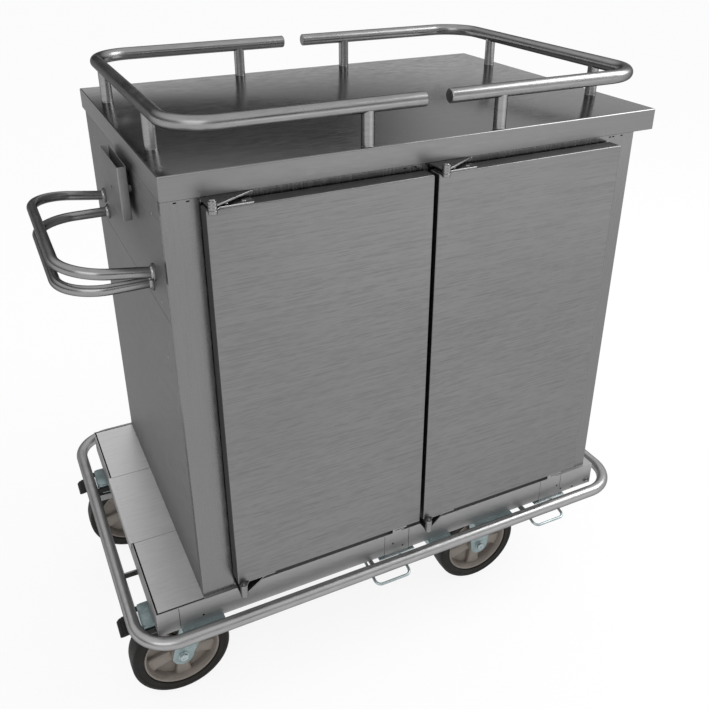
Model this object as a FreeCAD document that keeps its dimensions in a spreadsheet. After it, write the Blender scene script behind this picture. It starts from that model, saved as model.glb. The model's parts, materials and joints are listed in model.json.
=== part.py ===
"""Enclosed meal tray cart: two insulated door compartments on a wheeled base with a push handle.

Millimetres. X runs along the cart (the push handle is at -X), the doors face -Y and Z points up.
The origin is the middle of the cart's bounding box, on the floor. Every size is a cell of the sheet
"cart", and every object is bound to those cells. Places are given from the front left corner of the
countertop, at floor level; the cells left_edge and front_edge carry that corner to the origin.
"""
import FreeCAD
import Part
import Sketcher
import os
import re

doc = FreeCAD.newDocument("MealTrayCart")

# Sizes that can be set by themselves
DIMENSIONS = (
    # Wheels
    ("wheel_diameter", 200),
    ("wheel_width", 50),
    ("tyre_shoulder", 7),
    ("rim_diameter", 154),
    ("rim_ring", 9),
    ("rim_width", 44),
    ("rim_web", 4),
    ("spoke_depth", 26),
    ("hub_diameter", 46),
    ("hub_width", 52),
    ("window_count", 5),
    ("window_start", 30),
    ("window_end", 63),
    ("window_root", 7),
    ("window_rim", 25),
    ("axle_diameter", 12),
    ("axle_head", 20),
    ("axle_head_height", 7),
    ("running_gap", 0.05),
    # Casters
    ("caster_height", 222),
    ("wheel_inset", 80),
    ("swivel_place", 2),
    ("swivel_trail", 45),
    ("fixed_wheel_on_beam", 64),
    ("caster_plate_length", 105),
    ("caster_plate_width", 135),
    ("caster_plate", 4),
    ("race_diameter", 66),
    ("race_height", 4),
    ("king_pin", 14),
    ("king_nut", 24),
    ("king_nut_height", 5),
    ("fork_plate", 4),
    ("fork_side_gap", 2.5),
    ("fork_foot", 44),
    ("fork_top", 76),
    ("hood_reach", 114),
    ("hood_drop", 26),
    ("brake_pin", 8),
    ("brake_place", 88),
    ("brake_pin_height", 199),
    ("brake_length", 66),
    ("brake_bar", 8),
    ("brake_pad_length", 34),
    ("brake_pad_width", 48),
    ("brake_pad_thickness", 12),
    ("brake_arm", 3),
    ("brake_arm_height", 14),
    # Base
    ("skirt_height", 53),
    ("base_left", 92),
    ("base_right", 21),
    ("base_front", 7),
    ("base_sheet", 2),
    ("cover_gap", 3),
    ("cover_height", 4),
    ("cover_joint", 1),
    ("front_cover_depth", 200),
    ("middle_cover_depth", 228),
    ("cover_lip", 15),
    ("lip_slot_length", 18),
    ("lip_slot_height", 4),
    ("lip_slot_inset", 32),
    ("beam_height", 13),
    ("beam_wall", 2.5),
    ("left_beam_place", -47),
    ("left_beam_width", 80),
    ("middle_beam_from_treadle", 33.5),
    ("middle_beam_width", 54),
    ("right_beam_from_treadle", 66.5),
    ("right_beam_width", 97),
    # Bumper rail
    ("rail_tube", 25),
    ("rail_wall", 1.5),
    ("bumper_height", 234),
    ("bumper_left", 37),
    ("bumper_right", 58),
    ("bumper_front", 26),
    ("bumper_rear", 61),
    ("bumper_bend", 76),
    ("bracket_plate", 4),
    ("bracket_height", 12),
    ("bracket_hold", 10),
    ("side_bracket_place", 350),
    ("side_bracket_step", 380),
    ("end_bracket_place", 180),
    ("end_bracket_step", 263),
    ("seat_gap", 0.3),
    # Cabinet body
    ("body_height", 817.5),
    ("body_depth", 623),
    ("column_width", 59),
    ("column_return", 12),
    ("panel", 1.5),
    ("side_seam", 862),
    ("seam_gap", 1),
    ("liner", 1.2),
    ("compartment_depth", 560),
    ("rack_inset", 12),
    ("rack_margin", 10),
    ("ledge_count", 9),
    ("ledge_pitch", 75),
    ("ledge_width", 26),
    ("ledge_first", 40),
    ("ledge_rear_gap", 18),
    ("ledge_plate", 1.2),
    # Doors
    ("door_width", 388),
    ("door_thickness", 29),
    ("door_skin", 1.2),
    ("door_gap", 8),
    ("door_overlap", 14),
    ("door_below", 35),
    ("door_above", 10.5),
    ("gasket_thickness", 4.7),
    ("gasket_width", 10),
    ("gasket_inset", 9),
    # Door hinges
    ("hinge_pin", 6),
    ("hinge_eye", 14),
    ("hinge_inset", 8),
    ("hinge_leaf", 3),
    ("hinge_leaf_length", 75),
    ("hinge_leaf_width", 22),
    ("hinge_eye_height", 6),
    ("upper_eye_rise", 7),
    ("lower_eye_drop", 1.5),
    ("hinge_arm", 3),
    ("hinge_arm_length", 84),
    ("hinge_arm_rise", 13),
    ("hinge_foot", 2),
    ("pin_head", 10),
    ("pin_head_height", 2.5),
    ("pin_end", 4),
    # Foot latches
    ("latch_place", 38),
    ("latch_notch", 58),
    ("latch_side_gap", 1),
    ("latch_plate", 2),
    ("latch_tab", 20),
    ("latch_nose", 12),
    ("latch_free", 0.5),
    ("strike_width", 32),
    ("strike_plate", 2),
    ("strike_place", 18),
    ("strike_drop", 18),
    ("pivot_place", 38),
    ("pivot_height", 252),
    ("pivot_pin", 8),
    ("pivot_hub", 18),
    ("lever_plate", 3),
    ("bearer_gap", 1),
    ("bearer_plate", 3),
    ("bearer_width", 24),
    ("treadle_width", 83),
    ("treadle_front", 11),
    ("treadle_back", 46),
    ("treadle_plate", 3),
    ("treadle_height", 228.5),
    ("wire", 6),
    ("wire_span", 78),
    ("wire_shift", 28),
    ("wire_length", 74),
    ("wire_bend", 12),
    ("wire_back", 20),
    ("wire_slope", 14),
    ("spring_wire", 1.6),
    ("spring_length", 24),
    ("spring_pitch", 3),
    # Countertop and gallery rail
    ("counter_end_overhang", 48),
    ("counter_rear_overhang", 42),
    ("counter_lip", 39),
    ("gallery_height", 65),
    ("gallery_inset_end", 29),
    ("gallery_inset_side", 15.5),
    ("gallery_bend", 76),
    ("gallery_opening", 46),
    ("post_diameter", 22),
    ("side_post_place", 128),
    ("end_post_place", 180),
    # Push handle
    ("handle_tube", 19),
    ("handle_bend", 80),
    ("handle_reach", 147),
    ("upper_bow_span", 421),
    ("upper_bow_height", 917),
    ("upper_bow_tilt", 8),
    ("lower_bow_span", 375),
    ("lower_bow_height", 890),
    ("flange_diameter", 30),
    ("flange_plate", 3),
    # Document holder
    ("holder_place", 187),
    ("holder_width", 145),
    ("holder_height", 93),
    ("holder_thickness", 16),
    ("holder_sheet", 1.5),
    ("holder_standoff", 8),
    ("holder_below_top", 35),
    ("holder_spacer", 12),
    # Rivets
    ("rivet_head", 7),
    ("rivet_height", 1.2),
    ("rivet_inset", 66),
    ("upper_rivet_drop", 76),
    ("middle_rivet_drop", 228),
    ("lower_rivet_drop", 332),
)

# Sizes that follow from the ones above
DERIVED = (
    ("axle_height", "wheel_diameter / 2"),
    ("plate_bottom", "caster_height - caster_plate"),
    ("fork_half", "wheel_width / 2 + fork_side_gap"),
    ("rear_wheel_place", "body_depth - wheel_inset"),
    ("skirt_bottom", "caster_height + beam_height"),
    ("base_top", "skirt_bottom + skirt_height"),
    ("recess_floor", "base_top - cover_height"),
    ("body_length", "2 * column_width + 2 * door_width + door_gap"),
    ("base_length", "base_left + body_length + base_right"),
    ("base_depth", "base_front + body_depth"),
    ("counter_length", "body_length + counter_end_overhang"),
    ("counter_depth", "body_depth + counter_rear_overhang"),
    ("ledge_length", "compartment_depth - rack_inset - ledge_rear_gap"),
    ("body_top", "base_top + body_height"),
    ("counter_top", "body_top + panel"),
    ("lip_bottom", "counter_top - counter_lip"),
    ("door_bottom", "base_top + door_below"),
    ("door_top", "lip_bottom - door_above"),
    ("door_back", "-gasket_thickness - seat_gap"),
    ("door_face", "door_back - door_thickness"),
    ("left_door_place", "column_width"),
    ("right_door_place", "column_width + door_width + door_gap"),
    ("opening_bottom", "door_bottom + door_overlap"),
    ("opening_top", "door_top - door_overlap"),
    ("opening_width", "door_width - 2 * door_overlap"),
    ("hinge_line", "door_face - hinge_eye / 2 - seat_gap"),
    ("latch_from_hinge_side", "door_width - latch_place"),
    ("left_treadle_end", "left_door_place + latch_from_hinge_side + treadle_width / 2"),
    ("right_treadle_start", "right_door_place + latch_from_hinge_side - treadle_width / 2"),
    ("middle_beam_place", "left_treadle_end + middle_beam_from_treadle"),
    ("right_beam_place", "right_treadle_start - right_beam_from_treadle - right_beam_width"),
    ("fixed_wheel_place", "right_beam_place + fixed_wheel_on_beam"),
    ("latch_face", "-base_front"),
    ("strike_bottom", "door_bottom - strike_drop"),
    ("rail_front_back", "-base_front - bumper_front + rail_tube / 2"),
    ("lever_half", "latch_notch / 2 - latch_side_gap"),
    ("treadle_top", "treadle_height + treadle_plate"),
    ("rail_radius", "rail_tube / 2"),
    ("handle_radius", "handle_tube / 2"),
    ("reach_left", "handle_reach + handle_radius"),
    ("reach_right", "body_length + base_right + bumper_right + rail_radius"),
    ("reach_front", "wire_length * cos(wire_slope * 1 deg) + wire / 2 - wire_back"),
    ("reach_rear", "body_depth + bumper_rear + rail_radius"),
    ("left_edge", "(reach_left - reach_right) / 2"),
    ("front_edge", "(reach_front - reach_rear) / 2"),
)

cart = doc.addObject("Spreadsheet::Sheet", "cart")
for row, (name, size) in enumerate(DIMENSIONS + DERIVED, start=1):
    cart.set(f"A{row}", name.replace("_", " "))
    cart.set(f"B{row}", f"={size}" if isinstance(size, str) else str(size))
    cart.setAlias(f"B{row}", name)
doc.recompute()
ALIASES = {name for name, _ in DIMENSIONS + DERIVED}

PARTS = []
AXES = {"x": (1, 0, 0), "y": (0, 1, 0), "z": (0, 0, 1)}


# Helpers: expressions, placing and plain solids

def cells(text):
    """Point every size named in an expression at its cell of the sheet."""
    return re.sub(r"[a-z]\w*", lambda word: "cart." * (word.group() in ALIASES) + word.group(), text)


def size_of(text):
    """Number that an expression of the sheet's sizes gives."""
    answer = cart.evalExpression(cells(text))
    return float(getattr(answer, "Value", answer))


def bind(thing, **sizes):
    """Bind an object's properties to expressions of the sheet's sizes."""
    for attribute, text in sizes.items():
        thing.setExpression(attribute, cells(text))


def shift(thing, x="0", y="0", z="0"):
    """Place an object at a point of its own working frame."""
    for axis, text in zip("xyz", (x, y, z)):
        thing.setExpression(f"Placement.Base.{axis}", cells(text))
    return thing


def on_cart(thing, x="0", y="0", z="0"):
    """Place an object at a point given from the countertop's front left corner, above the floor."""
    return shift(thing, f"left_edge + {x}", f"front_edge + {y}", z)


def turn(thing, along, angle):
    """Turn an object about an axis by an expression in degrees."""
    thing.Placement.Rotation = FreeCAD.Rotation(FreeCAD.Vector(*AXES[along]), 1)
    thing.setExpression("Placement.Rotation.Angle", cells(f"({angle}) * 1 deg"))
    return thing


def slab(name, x, y, z, put=on_cart):
    """Box between two expressions along each axis."""
    block = doc.addObject("Part::Box", name)
    bind(
        block,
        Length=f"({x[1]}) - ({x[0]})",
        Width=f"({y[1]}) - ({y[0]})",
        Height=f"({z[1]}) - ({z[0]})",
    )
    return put(block, f"({x[0]})", f"({y[0]})", f"({z[0]})")


def rod(name, along, radius, length, x="0", y="0", z="0", put=on_cart):
    """Round bar that starts at a point and runs along an axis."""
    bar = doc.addObject("Part::Cylinder", name)
    bind(bar, Radius=radius, Height=length)
    bar.Placement.Rotation = FreeCAD.Rotation(FreeCAD.Vector(0, 0, 1), FreeCAD.Vector(*AXES[along]))
    return put(bar, f"({x})", f"({y})", f"({z})")


def fuse(name, pieces):
    """One solid from pieces that are welded or formed together."""
    joined = doc.addObject("Part::MultiFuse", name)
    joined.Shapes = pieces
    return joined


def cut(name, stock, tools):
    """Stock with every tool taken out of it."""
    result = doc.addObject("Part::Cut", name)
    result.Base = stock
    result.Tool = tools[0] if len(tools) == 1 else fuse(name + "_cuts", tools)
    return result


def group(name, pieces):
    """Several like solids kept as one sub-part."""
    gathered = doc.addObject("Part::Compound", name)
    gathered.Links = pieces
    return gathered


def origin_plane(body, role):
    """Origin plane of a body, found by its role."""
    return next(part for part in body.Origin.OriginFeatures if part.Role == role)


def outline(body, name, role, corners):
    """Closed outline of straight lines on an origin plane, each corner bound to the sheet."""
    sketch = body.newObject("Sketcher::SketchObject", name)
    sketch.AttachmentSupport = (origin_plane(body, role), "")
    sketch.MapMode = "FlatFace"
    points = [FreeCAD.Vector(size_of(across), size_of(up), 0) for across, up in corners]
    count = len(points)
    for index in range(count):
        sketch.addGeometry(Part.LineSegment(points[index], points[(index + 1) % count]))
    for index in range(count):
        sketch.addConstraint(Sketcher.Constraint("Coincident", index, 2, (index + 1) % count, 1))
    for index, corner in enumerate(corners):
        for kind, axis, text, near in zip(("DistanceX", "DistanceY"), (-2, -1), corner, points[index]):
            if text == "0":
                sketch.addConstraint(Sketcher.Constraint("PointOnObject", index, 1, axis))
            else:
                place = sketch.addConstraint(Sketcher.Constraint(kind, -1, 1, index, 1, near))
                sketch.setExpression(f"Constraints[{place}]", cells(text))
    return sketch


def plate(name, role, corners, thickness, put=on_cart, **place):
    """Flat plate: an outline on an origin plane, padded towards the plane's positive side."""
    body = doc.addObject("PartDesign::Body", name)
    sketch = outline(body, name + "_outline", role, corners)
    pad = body.newObject("PartDesign::Pad", name + "_pad")
    pad.Profile = sketch
    pad.Reversed = role == "XZ_Plane"
    bind(pad, Length=thickness)
    body.Tip = pad
    sketch.Visibility = False
    return put(body, **place)


def turned(name, corners, put=on_cart, **place):
    """Round part turned about its own Y axis from an outline of radius and width."""
    body = doc.addObject("PartDesign::Body", name)
    sketch = outline(body, name + "_outline", "XY_Plane", corners)
    spin = body.newObject("PartDesign::Revolution", name + "_turn")
    spin.Profile = sketch
    spin.ReferenceAxis = (sketch, ["V_Axis"])
    spin.Angle = 360
    body.Tip = spin
    sketch.Visibility = False
    return put(body, **place)


def part(thing, label):
    """Name a finished sub-part and list it for writing."""
    thing.Label = label
    PARTS.append(thing)
    return thing


# Bent tubes: straight runs and quarter bends, in the tube's own XY plane

def quarter(name, radius, bend, x, y, start):
    """Quarter bend about a centre, swept anticlockwise from a start angle."""
    ring = doc.addObject("Part::Torus", name)
    bind(ring, Radius1=bend, Radius2=radius)
    ring.Angle3 = 90
    ring.Placement.Rotation = FreeCAD.Rotation(FreeCAD.Vector(0, 0, 1), start)
    return shift(ring, x, y)


def bow(name, radius, reach, span, bend, short="0"):
    """U of round bar: two legs along X from their free ends to a cross run at X = 0.

    The legs lie at Y = 0 and Y = span and their free ends at X = reach, less what is left off for caps.
    """
    leg = f"{reach} - {bend} - {short}"
    return [
        rod(name + "_leg_a", "x", radius, leg, bend, "0", put=shift),
        quarter(name + "_bend_a", radius, bend, bend, bend, 180),
        rod(name + "_cross", "y", radius, f"{span} - 2 * {bend}", "0", bend, put=shift),
        quarter(name + "_bend_b", radius, bend, bend, f"{span} - {bend}", 90),
        rod(name + "_leg_b", "x", radius, leg, bend, span, put=shift),
    ]


def loop(name, radius, length, width, bend):
    """Closed rectangle of round bar with rounded corners, from X = 0 and Y = 0."""
    run = f"{length} - 2 * {bend}"
    rise = f"{width} - 2 * {bend}"
    return [
        rod(name + "_front", "x", radius, run, bend, "0", put=shift),
        rod(name + "_back", "x", radius, run, bend, width, put=shift),
        rod(name + "_left", "y", radius, rise, "0", bend, put=shift),
        rod(name + "_right", "y", radius, rise, length, bend, put=shift),
        quarter(name + "_bend_a", radius, bend, bend, bend, 180),
        quarter(name + "_bend_b", radius, bend, f"{length} - {bend}", bend, 270),
        quarter(name + "_bend_c", radius, bend, f"{length} - {bend}", f"{width} - {bend}", 0),
        quarter(name + "_bend_d", radius, bend, bend, f"{width} - {bend}", 90),
    ]


def tube(name, outside, inside):
    """Hollow tube: every solid run bored by its own bore, then all runs joined."""
    runs = [cut(f"{name}_run_{index}", run, [inside[index]]) for index, run in enumerate(outside)]
    return fuse(name, runs)


# Base: folded pan, covers of the step at the handle end, beams, bumper rail

def build_base():
    """Base pan with its covers, the beams that carry the casters and the bumper rail."""
    right = "body_length + base_right"
    inner_left = "base_sheet - base_left"
    inner_right = f"{right} - base_sheet"
    inner_y = ("base_sheet - base_front", "body_depth - base_sheet")
    pan = slab("pan_stock", ("-base_left", right), ("-base_front", "body_depth"), ("skirt_bottom", "base_top"))
    hollows = [
        slab("pan_hollow", (inner_left, inner_right), inner_y, ("skirt_bottom", "recess_floor - base_sheet")),
        slab(
            "pan_top_hollow",
            ("base_sheet", inner_right),
            inner_y,
            ("recess_floor - base_sheet", "base_top - base_sheet"),
        ),
        slab("step_recess", (inner_left, "0"), inner_y, ("recess_floor", "base_top")),
    ]
    for side in ("left", "right"):
        middle = f"{side}_door_place + latch_from_hinge_side"
        hollows.append(
            slab(
                f"{side}_latch_notch",
                (f"{middle} - latch_notch / 2", f"{middle} + latch_notch / 2"),
                ("-base_front", "base_sheet - base_front"),
                ("skirt_bottom", "base_top"),
            )
        )
    part(cut("base_pan", pan, hollows), "base_pan")
    build_covers(inner_left)
    beams = []
    for side in ("left", "middle", "right"):
        start = f"{side}_beam_place"
        end = f"{start} + {side}_beam_width"
        stock = slab(
            f"{side}_beam_stock", (start, end), ("rail_front_back", "body_depth"), ("caster_height", "skirt_bottom")
        )
        bore = slab(
            f"{side}_beam_bore",
            (f"{start} + beam_wall", f"{end} - beam_wall"),
            ("rail_front_back + beam_wall", "body_depth"),
            ("caster_height + beam_wall", "skirt_bottom - beam_wall"),
        )
        beams.append(cut(f"{side}_beam", stock, [bore]))
    part(group("base_beams", beams), "base_beams")


def build_covers(inner_left):
    """Three sheet covers in the recess of the step; the middle one folds down over the skirt."""
    front = "base_sheet - base_front + cover_gap"
    seam = f"{front} + front_cover_depth"
    second_seam = f"{seam} + cover_joint + middle_cover_depth"
    rear = "body_depth - base_sheet - cover_gap"
    inset_left = f"{inner_left} + cover_gap"
    spans = {
        "front": (inset_left, front, seam),
        "middle": (inner_left, f"{seam} + cover_joint", second_seam),
        "rear": (inset_left, f"{second_seam} + cover_joint", rear),
    }
    for name, (left, start, end) in spans.items():
        stock = slab(f"{name}_cover_stock", (left, "-seat_gap"), (start, end), ("recess_floor", "base_top"))
        under = slab(
            f"{name}_cover_under",
            (f"{left} + base_sheet", "-seat_gap - base_sheet"),
            (f"{start} + base_sheet", f"{end} - base_sheet"),
            ("recess_floor", "base_top - base_sheet"),
        )
        cover = cut(f"{name}_cover_tray", stock, [under])
        if name == "middle":
            cover = middle_cover(cover, start, end)
        part(cover, f"{name}_step_cover")


def middle_cover(tray, start, end):
    """Tray with a lip that folds over the skirt and has two finger slots."""
    outside = "-base_left - seat_gap"
    bridge = slab(
        "lip_bridge",
        (f"{outside} - panel", "base_sheet - base_left + base_sheet"),
        (start, end),
        ("base_top", "base_top + panel"),
    )
    fold = slab(
        "lip_fold",
        (f"{outside} - panel", outside),
        (start, end),
        ("base_top - cover_lip", "base_top + panel"),
    )
    slots = []
    for index, middle in enumerate((f"{start} + lip_slot_inset", f"{end} - lip_slot_inset")):
        slots.append(
            slab(
                f"lip_slot_{index}",
                (f"{outside} - panel", outside),
                (f"{middle} - lip_slot_length / 2", f"{middle} + lip_slot_length / 2"),
                ("base_top - cover_lip / 2 - lip_slot_height / 2", "base_top - cover_lip / 2 + lip_slot_height / 2"),
            )
        )
    return cut("middle_cover", fuse("middle_cover_folded", [tray, bridge, fold]), slots)


def build_bumper():
    """Tube rail all round the base and the plates that carry it."""
    length = "bumper_left + base_length + bumper_right"
    width = "bumper_front + base_depth + bumper_rear"
    outside = loop("bumper_skin", "rail_radius", length, width, "bumper_bend")
    inside = loop("bumper_bore", "rail_radius - rail_wall", length, width, "bumper_bend")
    rail = tube("bumper_rail", outside, inside)
    on_cart(rail, "-base_left - bumper_left", "-base_front - bumper_front", "bumper_height")
    part(rail, "bumper_rail")
    half = "bracket_plate / 2"
    levels = ("skirt_bottom - bracket_height", "skirt_bottom")
    plates = []
    for index in range(2):
        middle = f"side_bracket_place + {index} * side_bracket_step"
        across = (f"{middle} - {half}", f"{middle} + {half}")
        front = ("rail_front_back", "bracket_hold - base_front")
        rear = ("body_depth - bracket_hold", "body_depth + bumper_rear - rail_radius")
        plates.append(slab(f"front_bracket_{index}", across, front, levels))
        plates.append(slab(f"rear_bracket_{index}", across, rear, levels))
        middle = f"end_bracket_place + {index} * end_bracket_step"
        along = (f"{middle} - {half}", f"{middle} + {half}")
        left = ("-base_left - bumper_left + rail_radius", "bracket_hold - base_left")
        right_edge = "body_length + base_right"
        right = (f"{right_edge} - bracket_hold", f"{right_edge} + bumper_right - rail_radius")
        plates.append(slab(f"left_bracket_{index}", left, along, levels))
        plates.append(slab(f"right_bracket_{index}", right, along, levels))
    part(group("bumper_brackets", plates), "bumper_brackets")


# Cabinet body: skins, front frame, insulation, compartments and tray racks

def opening_x(side):
    """Left and right edge of a compartment's opening."""
    start = f"{side}_door_place + door_overlap"
    return start, f"{start} + opening_width"


def build_body():
    """Outer panels, front frame, insulation, liners and tray racks of the cabinet."""
    depth = ("column_return + seam_gap", "body_depth")
    seam = "side_seam"
    lower = slab("left_lower_panel", ("0", "panel"), depth, ("base_top", f"{seam} - seam_gap"))
    part(lower, "left_lower_panel")
    part(slab("left_upper_panel", ("0", "panel"), depth, (seam, "lip_bottom")), "left_upper_panel")
    right_x = ("body_length - panel", "body_length")
    part(slab("right_side_panel", right_x, depth, ("base_top", "body_top")), "right_side_panel")
    between = ("panel", "body_length - panel")
    rear_y = ("body_depth - panel", "body_depth")
    part(slab("rear_panel", between, rear_y, ("base_top", "body_top")), "rear_panel")
    build_front_frame()
    block = slab("insulation_block", between, ("panel", "body_depth - panel"), ("base_top", "body_top"))
    cavities = []
    for side in ("left", "right"):
        start, end = opening_x(side)
        wide = (f"{start} - liner", f"{end} + liner")
        tall = ("opening_bottom - liner", "opening_top + liner")
        cavities.append(slab(f"{side}_cavity", wide, ("panel", "panel + compartment_depth + liner"), tall))
        shell = slab(f"{side}_liner_shell", wide, ("panel", "panel + compartment_depth + liner"), tall)
        room = slab(
            f"{side}_room", (start, end), ("panel", "panel + compartment_depth"), ("opening_bottom", "opening_top")
        )
        part(cut(f"{side}_compartment_liner", shell, [room]), f"{side}_compartment_liner")
    part(cut("wall_insulation", block, cavities), "wall_insulation")
    build_racks()


def build_front_frame():
    """Sheet front with two door openings and a return round each corner."""
    tall = ("base_top", "lip_bottom")
    face = slab("frame_face", ("0", "body_length"), ("0", "panel"), tall)
    left = slab("frame_left_return", ("0", "panel"), ("0", "column_return"), tall)
    right = slab("frame_right_return", ("body_length - panel", "body_length"), ("0", "column_return"), tall)
    openings = [
        slab(f"{side}_frame_opening", opening_x(side), ("0", "panel"), ("opening_bottom", "opening_top"))
        for side in ("left", "right")
    ]
    part(cut("front_frame", fuse("frame_sheet", [face, left, right]), openings), "front_frame")


def build_racks():
    """A sheet with tray ledges on both sides of each compartment."""
    racks = []
    along = ("panel + rack_inset", "panel + rack_inset + ledge_length")
    for side in ("left", "right"):
        start, end = opening_x(side)
        sheets = {
            "near": (f"{start} + seat_gap", f"{start} + seat_gap + ledge_plate"),
            "far": (f"{end} - seat_gap - ledge_plate", f"{end} - seat_gap"),
        }
        for hand, across in sheets.items():
            name = f"{side}_{hand}_rack"
            tall = ("opening_bottom + rack_margin", "opening_top - rack_margin")
            racks.append(slab(name + "_sheet", across, along, tall))
            ledge = (across[1], f"{across[1]} + ledge_width")
            if hand == "far":
                ledge = (f"{across[0]} - ledge_width", across[0])
            for index in range(int(size_of("ledge_count"))):
                level = f"opening_bottom + ledge_first + {index} * ledge_pitch"
                racks.append(slab(f"{name}_ledge_{index}", ledge, along, (level, f"{level} + ledge_plate")))
    part(group("tray_racks", racks), "tray_racks")


def build_counter():
    """Countertop folded down on all sides, with the gallery rail in two halves."""
    wide = ("0", "counter_length")
    deep = ("0", "counter_depth")
    block = slab("counter_block", wide, deep, ("lip_bottom", "counter_top"))
    under = slab(
        "counter_under",
        ("panel", "counter_length - panel"),
        ("panel", "counter_depth - panel"),
        ("lip_bottom", "counter_top - panel"),
    )
    part(cut("countertop", block, [under]), "countertop")
    reach = "counter_length / 2 - gallery_inset_end - gallery_opening / 2"
    span = "counter_depth - 2 * gallery_inset_side"
    for side in ("left", "right"):
        name = f"gallery_{side}"
        outside = bow(name + "_skin", "rail_radius", reach, span, "gallery_bend")
        inside = bow(name + "_bore", "rail_radius - rail_wall", reach, span, "gallery_bend", "rail_wall")
        rail = fuse(name, [tube(name + "_tube", outside, inside)] + gallery_posts(name, span))
        x, y = "gallery_inset_end", "gallery_inset_side"
        if side == "right":
            rail.Placement.Rotation = FreeCAD.Rotation(FreeCAD.Vector(0, 0, 1), 180)
            x, y = "counter_length - gallery_inset_end", "counter_depth - gallery_inset_side"
        part(on_cart(rail, x, y, "counter_top + gallery_height"), f"{side}_gallery_rail")


def gallery_posts(name, span):
    """Four posts of one gallery half, in the tube's own frame, standing on the countertop."""
    side_x = "counter_length / 2 - gallery_inset_end - side_post_place"
    places = (
        (side_x, "0"),
        (side_x, span),
        ("0", f"({span}) / 2 - end_post_place"),
        ("0", f"({span}) / 2 + end_post_place"),
    )
    return [
        rod(f"{name}_post_{index}", "z", "post_diameter / 2", "gallery_height", x, y, "-gallery_height", put=shift)
        for index, (x, y) in enumerate(places)
    ]


def build_handle():
    """Two bows of tube one above the other, each welded into a flange at both ends."""
    end = "(flange_plate / 2 + seat_gap)"
    for name, tilt in (("upper", "upper_bow_tilt"), ("lower", "0")):
        span = f"{name}_bow_span"
        reach = f"(handle_reach - {end}) / cos({tilt} * 1 deg)"
        start_y = f"body_depth / 2 - {span} / 2"
        outside = bow(f"{name}_skin", "handle_radius", reach, span, "handle_bend")
        inside = bow(f"{name}_bore", "handle_radius - rail_wall", reach, span, "handle_bend", "rail_wall")
        bar = tube(f"{name}_bow_tube", outside, inside)
        top = f"{name}_bow_height + (handle_reach - {end}) * tan({tilt} * 1 deg)"
        turn(on_cart(bar, "-handle_reach", start_y, top), "y", tilt)
        flanges = [
            rod(
                f"{name}_flange_{index}", "x", "flange_diameter / 2", "flange_plate",
                "-flange_plate - seat_gap", f"{start_y} + {offset}", f"{name}_bow_height",
            )
            for index, offset in enumerate(("0", span))
        ]
        part(fuse(f"{name}_bow", [bar] + flanges), f"{name}_push_handle")


def build_holder():
    """Sheet pocket for a card, open at the top, held off the side panel on spacers."""
    top = "counter_top - holder_below_top"
    deep = ("-holder_standoff - holder_thickness", "-holder_standoff")
    wide = ("holder_place", "holder_place + holder_width")
    box = slab("holder_block", deep, wide, (f"{top} - holder_height", top))
    pocket = slab(
        "holder_pocket",
        (f"{deep[0]} + holder_sheet", f"{deep[1]} - holder_sheet"),
        (f"{wide[0]} + holder_sheet", f"{wide[1]} - holder_sheet"),
        (f"{top} - holder_height + holder_sheet", top),
    )
    shell = cut("holder_shell", box, [pocket])
    spacers = [
        rod(
            f"holder_spacer_{index}",
            "x",
            "holder_spacer / 2",
            "holder_standoff",
            "-holder_standoff",
            f"holder_place + holder_width * {share}",
            f"{top} - holder_height / 2",
        )
        for index, share in enumerate((0.2, 0.8))
    ]
    part(fuse("document_holder", [shell] + spacers), "document_holder")


def build_rivets():
    """Round rivet heads on the left side panels."""
    front, rear = "rivet_inset", "body_depth - rivet_inset"
    places = ((front, "upper"), (front, "middle"), (front, "lower"), (rear, "upper"))
    heads = [
        rod(
            f"rivet_{index}", "x", "rivet_head / 2", "rivet_height", "-rivet_height", y,
            f"counter_top - {level}_rivet_drop",
        )
        for index, (y, level) in enumerate(places)
    ]
    part(group("panel_rivets", heads), "panel_rivets")


# Doors and their hinges

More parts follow.
